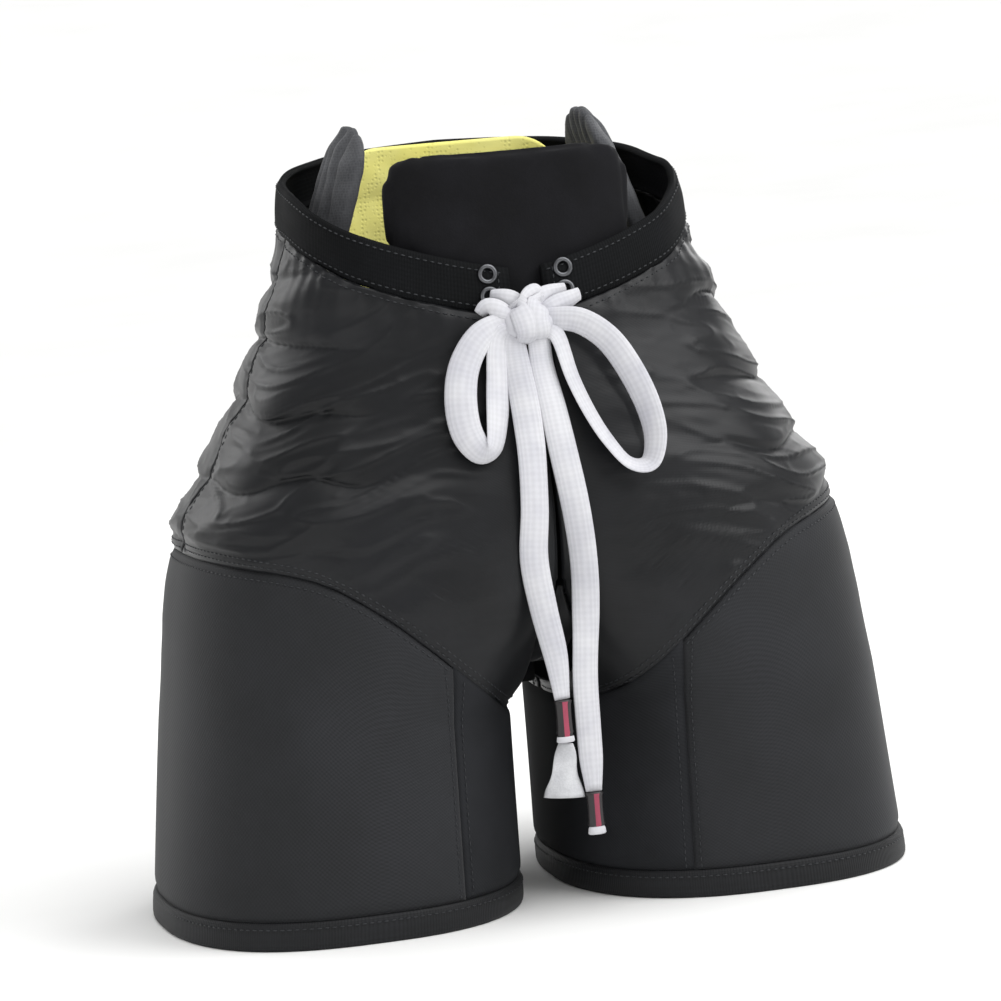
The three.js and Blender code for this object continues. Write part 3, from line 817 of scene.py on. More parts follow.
# Heat-shrunk sleeve on the lace's end: dark and a little glossy, with a wine-red stripe.
SLEEVE = Finish("shrunk_sleeve", "aglet_plastic", "#1c191b", "#262224", 0.35, Pattern.GRAIN, 2.0, 0.05)
STRIPE = Finish("wine_red_sleeve", "aglet_plastic", "#a83e58", "#8f3049", 0.38, Pattern.GRAIN, 2.0, 0.05)
# Bonded polyester thread, a shade lighter than the cloth.
THREAD = Finish("bonded_thread", "binding", "#2c2e31", "#36383b", 0.5, Pattern.GRAIN, 0.6, 0.05, gloss=0.3)
# Matt painted board under and behind the pants.
BOARD = Finish("matt_board", "binding", "#f4f4f3", "#efefee", 0.9, Pattern.GRAIN, 4.0, 0.02,
               patch=400, hollow_shade=0.01)


class Wardrobe:
    """The materials, each made once."""

    def __init__(self) -> None:
        """Starts with no materials."""
        self.made: dict[str, bpy.types.Material] = {}

    def put(self, obj: bpy.types.Object, finish: Finish) -> bpy.types.Object:
        """Gives a piece a finish."""
        obj.data.materials.append(self.get(finish))
        return obj

    def get(self, finish: Finish) -> bpy.types.Material:
        """The finish's material."""
        if finish.name not in self.made:
            self.made[finish.name] = finish.material()
        return self.made[finish.name]


WARDROBE = Wardrobe()


def follow_leg(obj: bpy.types.Object) -> bpy.types.Object:
    """Bakes the piece's placement into its own mesh and returns it; nothing here turns the cloth with the leg."""
    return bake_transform(obj)


def stitch_rows(side: Side, stem: str, rows: Sequence[tuple[Array, Array]], body: str) -> bpy.types.Object:
    """Rows of stitches as one object that rides on a body.

    Args:
        side: the wearer's side.
        stem: the object's name without its side.
        rows: each row's line, and the way out of the cloth along it.
        body: the body.

    Returns:
        The stitches.
    """
    thread = bmesh.new()
    for line, lift in rows:
        Stitching().add(thread, line, lift)
    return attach(WARDROBE.put(new_object(side.named(stem), thread), THREAD), body)


def edge_row(place: Place, size: tuple[float, float], edge: str, offset: float, steps: int = 90) -> tuple[Array, Array]:
    """A line on a panel at a distance from one of its edges.

    Args:
        place: the panel's place function.
        size: the panel's width and height in millimetres.
        edge: bottom, top, start or stop.
        offset: the distance in millimetres.
        steps: how many steps the line has.

    Returns:
        The line's points, and the way out of the cloth at each.
    """
    small = 0.004
    along = np.linspace(small, 1 - small, steps)
    far = offset / size[1 if edge in ("bottom", "top") else 0]
    level = np.full(steps, far if edge in ("bottom", "start") else 1 - far)
    u, v = (along, level) if edge in ("bottom", "top") else (level, along)
    spot = place(u, v)
    across = place(np.clip(u + small, 0, 1), v) - place(np.clip(u - small, 0, 1), v)
    upward = place(u, np.clip(v + small, 0, 1)) - place(u, np.clip(v - small, 0, 1))
    out = np.cross(across, upward)
    return spot, out / np.maximum(np.linalg.norm(out, axis=1, keepdims=True), 1e-9)


# ---------- Shell ----------


@dataclass
class Panel:
    """One sewn panel of the shell, with its folds and its rows of stitches."""

    stem: str
    patch: Patch
    finish: Finish
    size: tuple[float, float]
    grid: tuple[int, int]
    folds: SatinFolds | LegSwell
    turns: tuple[float, float]
    rows: tuple[tuple[str, float], ...] = ()
    thickness: float = 2.2
    calm_seam: float = 0.0

    def place(self, side: Side) -> Place:
        """The function that puts this side's points in place."""

        def left(u: Array, v: Array) -> Array:
            """Points of the left panel, folded as this side's cloth is."""
            z, angle = self.patch.settle(u, v)
            flat = FORM.point(z, angle, 0) * side.flip
            out = self.folds.height(flat, mix(*self.turns, u))
            out = out * mix(1 - self.calm_seam, 1, ease(v * self.size[1], 0, 16))
            dip = np.maximum(edge_dip(u, self.size[0]), edge_dip(v, self.size[1]))
            return FORM.point(z, angle, dip - out)

        return mirrored(left, side)

    def build(self, side: Side, thread: bmesh.types.BMesh) -> bpy.types.Object:
        """Makes this side's panel and adds its stitches.

        Args:
            side: the wearer's side.
            thread: the mesh that takes the stitches.

        Returns:
            The panel.
        """
        place = self.place(side)
        obj = new_object(side.named(self.stem), grid_mesh(*self.grid, place, self.size))
        thicken(obj, self.thickness)
        WARDROBE.put(obj, self.finish)
        swap = {"start": "stop", "stop": "start"} if side is Side.RIGHT else {}
        for edge, offset in self.rows:
            Stitching().add(thread, *edge_row(place, self.size, swap.get(edge, edge), offset))
        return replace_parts(obj, side.named(self.stem))


def inseam(z: Array) -> Array:
    """The angle of the seam of the inner leg panel."""
    return FORM.angle_at(z, FORM.inseam, 0)


def constant(value: float) -> Callable[..., Array]:
    """A function that always gives one value."""
    return lambda *given: np.full(np.shape(given[0]), value)


def hip_line(x: Array, u: Array) -> Array:
    """The height of the hip seam."""
    return FORM.hip_seam.at(x)


def waist_line(first: float) -> Callable[[Array, Array], Array]:
    """The height of the waistband's seam along a panel that starts at this share of the way round."""
    return lambda x, u: FORM.waist_seam(first + u / 2)


def start_front(z: Array) -> Array:
    """The angle at which the front panel starts at the front."""
    return -FORM.angle_at(z, FORM.panel_start(z), 0)


def start_back(z: Array) -> Array:
    """The angle at which the seat panel ends at the back."""
    x = np.where(np.asarray(z) < FORM.gusset_reach, FORM.panel_start(z), 0.0)
    return FORM.angle_at(z, x, 0)


@dataclass
class Shell:
    """The cloth shell: two halves of front, seat and leg panels, with the gusset between the legs."""

    hem_top: float = 16.4
    leg_seam: float = 35
    stitch_inset: float = 4
    stitch_spacing: float = 4.5
    satin: SatinFolds = field(default_factory=SatinFolds)
    swell: LegSwell = field(default_factory=LegSwell)
    gusset_thickness: float = 2.2
    gusset_top: float = 187.0
    gusset_tip: float = 1.4
    tuck: float = 2.5

    def panels(self) -> list[Panel]:
        """Every sewn panel of one side."""
        hem = constant(self.hem_top)
        leg_seam = constant(self.leg_seam)
        near = self.stitch_inset
        twice = (("bottom", near), ("bottom", near + self.stitch_spacing), ("top", near), ("stop", near))
        return [
            Panel(
                "front_panel", Patch(start_front, constant(0), hip_line, waist_line(0)),
                SATIN, (205, 215), (120, 120), self.satin, (0.0, 0.5), twice, calm_seam=0.75,
            ),
            Panel(
                "seat_panel", Patch(constant(0), start_back, hip_line, waist_line(0.5)),
                SATIN, (205, 235), (110, 120), self.satin, (0.5, 1.0), twice, calm_seam=0.75,
            ),
            Panel(
                "thigh_panel", Patch(lambda z: -inseam(z), leg_seam, hem, hip_line, 90),
                CORDURA, (230, 165), (110, 80), self.swell, (0.1, 0.6),
                (("top", near), ("start", near), ("stop", near)),
            ),
            Panel(
                "back_leg_panel", Patch(leg_seam, inseam, hem, hip_line, 90),
                CORDURA, (120, 165), (60, 70), self.swell, (0.6, 0.9), (("top", near), ("start", near)),
            ),
            Panel(
                "inner_leg_panel",
                Patch(inseam, lambda z: 360 - inseam(z), hem, lambda x, u: hip_line(x, u) + self.tuck, 80),
                BRUSHED, (200, 105), (90, 50), self.swell, (0.9, 0.1), (("start", near), ("stop", near)),
            ),
        ]

    def gusset(self, side: Side) -> bpy.types.Object:
        """One half of the boat-shaped strip under the crotch."""
        reach = float(FORM.wall(np.array(self.gusset_top), np.array(0.0), 0))

        def left(u: Array, v: Array) -> Array:
            """Points from the middle line out to the strip's edge, back to front."""
            y = mix(reach, -reach, v)
            low, high = np.full(len(v), FORM.crotch), np.full(len(v), float(FORM.gusset_ends[1]))
            for _ in range(30):
                middle = (low + high) / 2
                short = FORM.wall(middle, np.zeros(len(v)), 0) < np.abs(y)
                low, high = np.where(short, middle, low), np.where(short, high, middle)
            half = self.gusset_tip + FORM.gusset_half(high)
            dip = edge_dip(np.where(u > 0.5, u, 0.5), 24) * 0.8
            return np.stack([u * half, y * (1 - 0.004 * dip), high + dip * 0.5], axis=1)

        obj = new_object(side.named("crotch_gusset"), grid_mesh(8, 90, mirrored(left, side), (12, 320)))
        thicken(obj, self.gusset_thickness)
        WARDROBE.put(obj, SATIN)
        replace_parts(obj, "crotch_gusset")
        return follow_leg(obj)

    def build(self) -> list[bpy.types.Object]:
        """Makes the whole shell."""
        made = []
        for side in Side:
            thread = bmesh.new()
            made += [follow_leg(panel.build(side, thread)) for panel in self.panels()]
            rows = WARDROBE.put(new_object(side.named("shell_stitches"), thread), THREAD)
            made += [follow_leg(rows), self.gusset(side)]
        return made


# ---------- Bands ----------


@dataclass
class Bands:
    """The waistband, the hem bands and the eyelets."""

    band_thickness: float = 4
    crown: float = 0.9
    fly: float = 9.4
    hem_height: float = 16.2
    hem_thickness: float = 5.6
    hem_stitch_inset: float = 3.6
    stitch_lift: float = 0.75
    eyelet_x: float = 22
    eyelet_stand: float = 1.2
    eyelet_heights: tuple[tuple[str, float], ...] = (("upper", 364.5), ("lower", 352))
    eyelet_profile: tuple[tuple[float, float], ...] = (
        (3.2, -4.4), (3.9, -4.4), (3.9, 0.5), (5.4, 0.5), (5.7, 0.85), (5.2, 1.35), (4.2, 1.5), (3.4, 1.2), (3.15, 0.6),
    )

    def waistband(self, side: Side) -> bpy.types.Object:
        """Half of the waistband, from the fly to the back."""
        patch = Patch(
            lambda z: -FORM.angle_at(z, self.fly, 0), constant(90),
            lambda x, u: FORM.waist_seam(u), lambda x, u: FORM.rim.at(u), 380,
        )
        size = (330, FORM.band_width)

        def left(u: Array, v: Array) -> Array:
            """Points of the band, with a soft crown and a slack ripple."""
            z, angle = patch.settle(u, v)
            flat = FORM.point(z, angle, 0) * side.flip
            ripple = noise_at(flat, (34, 34, 22), 61.0) * 2.0 * ease(np.abs(flat[:, 0]), 30, 70)
            crown = self.crown * (1 - (2 * v - 1) ** 4)
            end = edge_dip(u, size[0], 1.2, 3) * (u < 0.5)
            return FORM.point(z, angle, edge_dip(v, size[1], 1.0, 2.2) + end - crown - ripple - 0.5)

        place = mirrored(left, side)
        obj = new_object(side.named("waistband"), grid_mesh(170, 14, place, size))
        thicken(obj, self.band_thickness)
        WARDROBE.put(obj, WAIST_TAPE)
        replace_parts(obj, side.named("waistband"))
        edges = (("bottom", 3.5), ("top", 3.5), ("stop" if side is Side.RIGHT else "start", 4))
        rows = [edge_row(place, size, edge, offset, 200) for edge, offset in edges]
        stitch_rows(side, "waistband_stitches", rows, "waist")
        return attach(obj, "waist")

    def hem(self, side: Side) -> bpy.types.Object:
        """A rolled band round the leg opening, with a row of stitches near its top."""

        def left(u: Array, v: Array) -> Array:
            """Points round the leg, and round the band's section."""
            angle, a = mix(-180, 180, u), v * 2 * math.pi
            z = self.hem_height / 2 + power(np.sin(a), 0.55) * self.hem_height / 2
            around = FORM.point(z, angle, 0) * side.flip
            slack = noise_at(around, (60, 60, 40), 71.0) * 0.7
            inset = 2.0 - power(np.cos(a), 0.6) * self.hem_thickness / 2 - slack
            return FORM.point(z, angle, inset)

        bm = grid_mesh(200, 18, mirrored(left, side), (660, 44))
        bmesh.ops.remove_doubles(bm, verts=bm.verts, dist=2 * MERGE)
        bmesh.ops.recalc_face_normals(bm, faces=bm.faces)
        obj = WARDROBE.put(new_object(side.named("hem_band"), bm), TAPE)
        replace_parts(obj, side.named("hem_band"))
        angle = np.linspace(-179, 179, 300)
        height = np.full(len(angle), self.hem_height - self.hem_stitch_inset)
        line = FORM.point(height, angle, -self.stitch_lift) * side.flip
        out = (FORM.point(height, angle, -2) - FORM.point(height, angle, 0)) * side.flip
        stitch_rows(side, "hem_stitches", [(line, out)], side.leg)
        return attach(obj, side.leg)

    def eyelet(self, side: Side, level: str, height: float) -> bpy.types.Object:
        """A rolled metal eyelet, turned to lie on the band."""
        bm = turned(self.eyelet_profile, 36, closed=True)
        wall = FORM.wall(np.array([height - 2, height, height + 2]), np.full(3, self.eyelet_x), 0)
        lean = math.atan((wall[2] - wall[0]) / 4)
        spot = Vector((side.sign * self.eyelet_x, -wall[1] - self.eyelet_stand, height)) * MM
        turn = Matrix.Translation(spot) @ Matrix.Rotation(math.pi / 2 + lean, 4, "X")
        bmesh.ops.transform(bm, matrix=turn, verts=bm.verts)
        name = side.named(f"eyelet_{level}")
        obj = WARDROBE.put(new_object(name + "_rolled", bm), NICKEL)
        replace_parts(obj, name)
        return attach(obj, "waist")

    def build(self) -> list[bpy.types.Object]:
        """Makes the bands and the eyelets of both sides."""
        made = []
        for side in Side:
            made += [self.waistband(side), self.hem(side)]
            made += [self.eyelet(side, level, height) for level, height in self.eyelet_heights]
        return made


# ---------- Pads and guards ----------


@dataclass(frozen=True)
class WallPiece:
    """A rounded piece that lies along the front or the back wall, in millimetres."""

    facing: int
    half: float
    bottom: float
    top: float
    corner: float
    outer: float
    inner: float

    def place(self, inset: float, shrink: float = 0.0) -> Place:
        """The function that puts the piece's points at an inset.

        Args:
            inset: how far inside the outer surface.
            shrink: how much smaller the outline is made all round.

        Returns:
            The place function, in millimetres.
        """
        half, corner = self.half - shrink, self.corner

        def put(u: Array, v: Array) -> Array:
            """Points across and up the wall."""
            x = mix(-half, half, u if self.facing < 0 else 1 - u)
            past = np.maximum(np.abs(x) - (half - corner), 0)
            drop = corner - np.sqrt(np.maximum(corner**2 - past**2, 0))
            z = mix(self.bottom + shrink + drop, self.top - shrink - drop, v)
            return np.stack([x, self.facing * FORM.wall(z, x, inset), z], axis=1)

        return put

    def slab(self, shrink: float, slim: float, grid: tuple[int, int] = (40, 36)) -> bmesh.types.BMesh:
        """A closed slab, made smaller all round and thinner on each face."""
        return slab_mesh(*grid, self.place(self.outer + slim, shrink), self.place(self.inner - slim, shrink))


def groove(points: Array, normals: Array, distance: Array, depth: float, width: float) -> Array:
    """Points pushed in along their normals near a sewn line."""
    return points - normals * (depth * MM * np.exp(-((distance / width) ** 2)))[:, None]


def normals_of(obj: bpy.types.Object) -> Array:
    """The normals at a mesh's points, one a row."""
    return np.array([v.normal for v in obj.data.vertices])


@dataclass
class Pads:
    """The pads and plates inside the waist."""

    front: WallPiece = WallPiece(-1, 76, 304, 439, 22, 6.6, 18.6)
    back: WallPiece = WallPiece(1, 66, 302, 433, 26, 8.6, 17.6)
    lining: WallPiece = WallPiece(1, 68, 298, 435, 26, 18.6, 19.8)
    tailbone: WallPiece = WallPiece(1, 38, 201, 297, 18, 8.3, 17.3)
    shrink: float = 2.5
    slim: float = 2.2
    voxel: float = 4.5
    seam_groove: tuple[float, float] = (1.8, 2.4)
    rim_groove: tuple[float, float] = (0.9, 1.8)
    quilt_pitch: float = 45
    cloth_thickness: float = 1.2

    def padded(
        self, name: str, piece: WallPiece, body: str, cap: float, seams: Sequence[float], rim: float
    ) -> bpy.types.Object:
        """A blown-up pad on a wall, with sewn lines across it and a sewn edge.

        Args:
            name: the CAD node that it stands for.
            piece: its outline and its place.
            body: the body that it rides on.
            cap: the furthest that the simulation may move a point, in millimetres.
            seams: heights of the sewn lines.
            rim: the width of the sewn edge, in millimetres.

        Returns:
            The pad.
        """
        obj = new_object(name + "_cushion", piece.slab(self.shrink, self.slim))
        puff(obj, self.voxel, cap)
        points, normals = coordinates(obj), normals_of(obj)
        for height in seams:
            points = groove(points, normals, points[:, 2] / MM - height, *self.seam_groove)
        inside = np.minimum(piece.half - np.abs(points[:, 0] / MM), (piece.top - points[:, 2] / MM))
        points = groove(points, normals, inside - rim, *self.rim_groove)
        soft = noise_at(points / MM, (34, 34, 34), 81.0) * 0.8 + noise_at(points / MM, (9, 9, 12), 83.0) * 0.16
        put_coordinates(obj, points + normals * (soft * MM)[:, None])
        WARDROBE.put(obj, TRICOT)
        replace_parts(obj, name)
        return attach(obj, body)

    def build(self) -> list[bpy.types.Object]:
        """Makes the pads and the lining."""
        front = self.padded("front_pad", self.front, "belly_pad", 4.0, (), 7.5)
        back = self.padded("back_pad", self.back, "waist", 2.5, (345, 390), 7.0)
        tail = self.padded("tailbone_pad", self.tailbone, "waist", 2.5, (), 6.0)
        cloth = new_object("back_lining_cloth", grid_mesh(60, 60, self.quilted, (136, 137)))
        thicken(cloth, self.cloth_thickness)
        WARDROBE.put(cloth, LINING)
        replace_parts(cloth, "back_lining")
        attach(cloth, "waist")
        return [front, back, tail, cloth]

    def quilted(self, u: Array, v: Array) -> Array:
        """Points of the lining, with soft quilting that swells between sewn lines."""
        flat = self.lining.place(self.lining.outer)(u, v)
        quilts = np.abs(np.sin(flat[:, 2] * math.pi / self.quilt_pitch)) ** 0.6 * 1.5
        inset = self.lining.outer + np.maximum(quilts + noise_at(flat, (20, 20, 14), 91.0) * 1.1, 0)
        return np.stack([flat[:, 0], FORM.wall(flat[:, 2], flat[:, 0], 0) - inset, flat[:, 2]], axis=1)


@dataclass
class HipPad:
    """The channelled pad that stands up inside each side of the waist."""

    length: float = 74
    height: float = 111
    thickness: float = 10
    plate: float = 3.2
    shift: float = 14
    seat: float = 0.6
    bottom: float = 350
    lean: float = 20
    top_radius: float = 30
    channels: tuple[float, ...] = (-22, -8, 6, 20)
    channel_depth: float = 3.0
    channel_width: float = 1.9
    channel_taper: float = 0.72
    taper_heights: tuple[float, float] = (40, 104)
    pucker: float = 0.5
    bow: float = 0.0045
    shrink: float = 2.5
    slim: float = 2.0
    voxel: float = 4.5
    cap: float = 3.5
    shell: float = 2.2

    def outer_face(self) -> float:
        """How far the pad's outer face stands from the middle, at its foot."""
        z, y = np.array(float(self.bottom)), self.length / 2 + self.shift
        rest = (1 - (y / (FORM.half_depth.at(z) - self.shell)) ** FORM.squareness) ** (1 / FORM.squareness)
        return float(FORM.centre(z) + FORM.radius(z, self.shell) * rest) - self.seat

    def face(self, depth: float, shrink: float) -> Place:
        """Places a face of the pad, before it leans, at a depth behind the outer one."""
        half, radius, top = self.length / 2 - shrink, self.top_radius, self.height - shrink

        def put(u: Array, v: Array) -> Array:
            """Points front to back and up."""
            y = mix(-half, half, u)
            past = np.maximum(np.abs(y) - (half - radius), 0)
            z = mix(shrink, top - radius + np.sqrt(np.maximum(radius**2 - past**2, 0)), v)
            return np.stack([np.full(len(u), -depth), y, z], axis=1)

        return put

    def build(self, side: Side) -> bpy.types.Object:
        """Makes this side's pad: blown up, sewn into channels, leaned and put in place.

        Args:
            side: the wearer's side.

        Returns:
            The pad.
        """
        outer_face = self.face(self.slim - self.plate, self.shrink)
        bm = slab_mesh(32, 42, outer_face, self.face(self.thickness - self.slim, self.shrink))
        obj = new_object(side.named("hip_pad") + "_cushion", bm)
        puff(obj, self.voxel, self.cap)
        points, normals = coordinates(obj), normals_of(obj)
        y, z = points[:, 1] / MM, points[:, 2] / MM
        for channel in self.channels:
            bent = channel * mix(1, self.channel_taper, ease(z, *self.taper_heights))
            points = groove(points, normals, y - bent, self.channel_depth, self.channel_width)
        points[:, 0] -= self.bow * y**2 * MM
        puckers = noise_at(np.stack([y, z, y * 0], axis=1), (14, 9, 9), 95.0 + side.sign) * self.pucker
        points = points + normals * (puckers * MM)[:, None]
        put_coordinates(obj, points)
        spot = Matrix.Translation((self.outer_face() * MM, self.shift * MM, self.bottom * MM))
        obj.data.transform(spot @ Matrix.Rotation(-math.radians(self.lean), 4, "Y"))
        if side is Side.RIGHT:
            obj.data.transform(Matrix.Diagonal((-1, 1, 1, 1)))
            obj.data.flip_normals()
        WARDROBE.put(obj, WING_KNIT)
        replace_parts(obj, side.named("hip_pad"), side.named("hip_guard"))
        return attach(obj, f"{side.word}_hip_pad")


@dataclass
class ThighLayers:
    """The plate, foam and lining behind each thigh panel."""

    guard: tuple[float, float] = (3.4, 5.8)
    foam: tuple[float, float] = (6.9, 16.7)
    foam_slim: float = 1.8
    foam_voxel: float = 5.0
    foam_cap: float = 2.2
    lining: float = 18.0
    cloth_thickness: float = 1.2

    def patch(self, before: float, after: float, bottom: float, below: float) -> Patch:
        """A patch of the thigh, from before the inner seam to past the side line."""
        return Patch(
            lambda z: before - inseam(z), constant(after), constant(bottom),
            lambda x, u: FORM.hip_seam.at(x) - below, 90,
        )

    def layer(self, patch: Patch, inset: float, side: Side, swell: float = 0.0) -> Place:
        """Places one face of a layer."""

        def left(u: Array, v: Array) -> Array:
            """Points of the layer's face."""
            z, angle = patch.settle(u, v)
            soft = noise_at(FORM.point(z, angle, 0), (30, 30, 24), 97.0) * swell if swell else 0
            return FORM.point(z, angle, inset + soft)

        return mirrored(left, side)

    def build(self, side: Side) -> list[bpy.types.Object]:
        """Makes the three layers of one thigh."""
        patch = self.patch(6, 12, 26, 8.4)
        outer, inner = (self.layer(patch, inset, side) for inset in self.guard)
        plate = new_object(side.named("thigh_guard") + "_plate", slab_mesh(60, 40, outer, inner))
        WARDROBE.put(plate, GUARD)
        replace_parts(plate, side.named("thigh_guard"))
        patch = self.patch(4, 17, 22.5, 5.5)
        outer = self.layer(patch, self.foam[0] + self.foam_slim, side)
        inner = self.layer(patch, self.foam[1] - self.foam_slim, side)
        foam = new_object(side.named("thigh_foam") + "_pad", slab_mesh(60, 44, outer, inner))
        puff(foam, self.foam_voxel, self.foam_cap)
        WARDROBE.put(foam, FOAM)
        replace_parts(foam, side.named("thigh_foam"))
        cloth = self.layer(self.patch(-2, 22, 18, 4.4), self.lining, side, 0.5)
        lining = new_object(side.named("thigh_lining") + "_cloth", grid_mesh(70, 50, cloth, (215, 165)))
        thicken(lining, self.cloth_thickness)
        WARDROBE.put(lining, SPACER)
        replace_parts(lining, side.named("thigh_lining"))
        return [follow_leg(piece) for piece in (plate, foam, lining)]


# ---------- Lace ----------


@dataclass(frozen=True)
class Strand:
    """One free stretch of the lace: its route in millimetres, and how the flat lace turns along it."""

    name: str
    route: tuple[tuple[float, float, float], ...]
    length: float
    turns: tuple[tuple[float, float], ...]
    widths: tuple[tuple[float, float], ...]

    def line(self) -> Array:
        """The middle of the lace."""
        return smooth_line(self.route)


TAIL_LEFT = Strand(
    "lace_tail_left",
    ((0, -104.5, 333.5), (1.5, -105.3, 326.2), (2, -108, 311), (4, -115, 290), (6, -122, 264), (9, -126.5, 234),
     (11, -127, 202), (10, -127, 168), (7.5, -127, 136), (7, -127, 108), (7, -127, 72)),
    0.265,
    ((0, 20), (0.2, -12), (0.45, 8), (0.62, 24), (0.75, -6), (1, 4)),
    ((0, 0.75), (0.12, 0.9), (0.3, 1.08), (0.6, 1.05), (0.94, 0.95), (1, 0.62)),
)
TAIL_RIGHT = Strand(
    "lace_tail_right",
    ((-9.5, -104.5, 333), (-13, -105.3, 325.9), (-13, -108, 311), (-12, -115, 290), (-12, -122, 264),
     (-14, -126.5, 234), (-17, -127, 206), (-14, -127, 178), (-9, -127, 150), (-7.2, -127, 126)),
    0.212,
    ((0, -24), (0.25, 14), (0.5, -6), (0.8, 10), (1, -5)),
    ((0, 0.75), (0.15, 1.0), (0.5, 1.12), (0.85, 0.98), (1, 0.62)),
)
LOOP_LEFT = Strand(
    "lace_loop_left",
    ((2.5, -105, 338), (11.2, -105, 337), (26, -107, 334), (40, -110, 323), (50, -114, 306), (57, -119, 286),
     (59, -123, 268), (54, -126, 254), (43, -126, 255), (33, -122, 268), (25, -117, 284), (18, -111, 304),
     (12.6, -106, 327), (5, -105, 333)),
    0.222,
    ((0, 12), (0.3, 20), (0.42, 38), (0.56, 62), (0.68, 52), (0.85, 36), (1, 12)),
    ((0, 0.7), (0.15, 1.0), (0.6, 0.95), (1, 0.7)),
)
LOOP_RIGHT = Strand(
    "lace_loop_right",
    ((-10, -105, 338), (-19.4, -105, 337), (-33, -107, 331), (-44, -110, 316), (-49, -115, 298), (-48, -119, 280),
     (-41, -122, 268), (-33, -121, 270), (-28, -116, 286), (-25, -110, 304), (-21.8, -106, 328), (-13, -105, 333)),
    0.177,
    ((0, 10), (0.35, 14), (0.5, 8), (0.62, 30), (0.8, 20), (1, 10)),
    ((0, 0.7), (0.25, 1.15), (0.45, 1.2), (0.6, 0.9), (0.75, 1.1), (1, 0.7)),
)


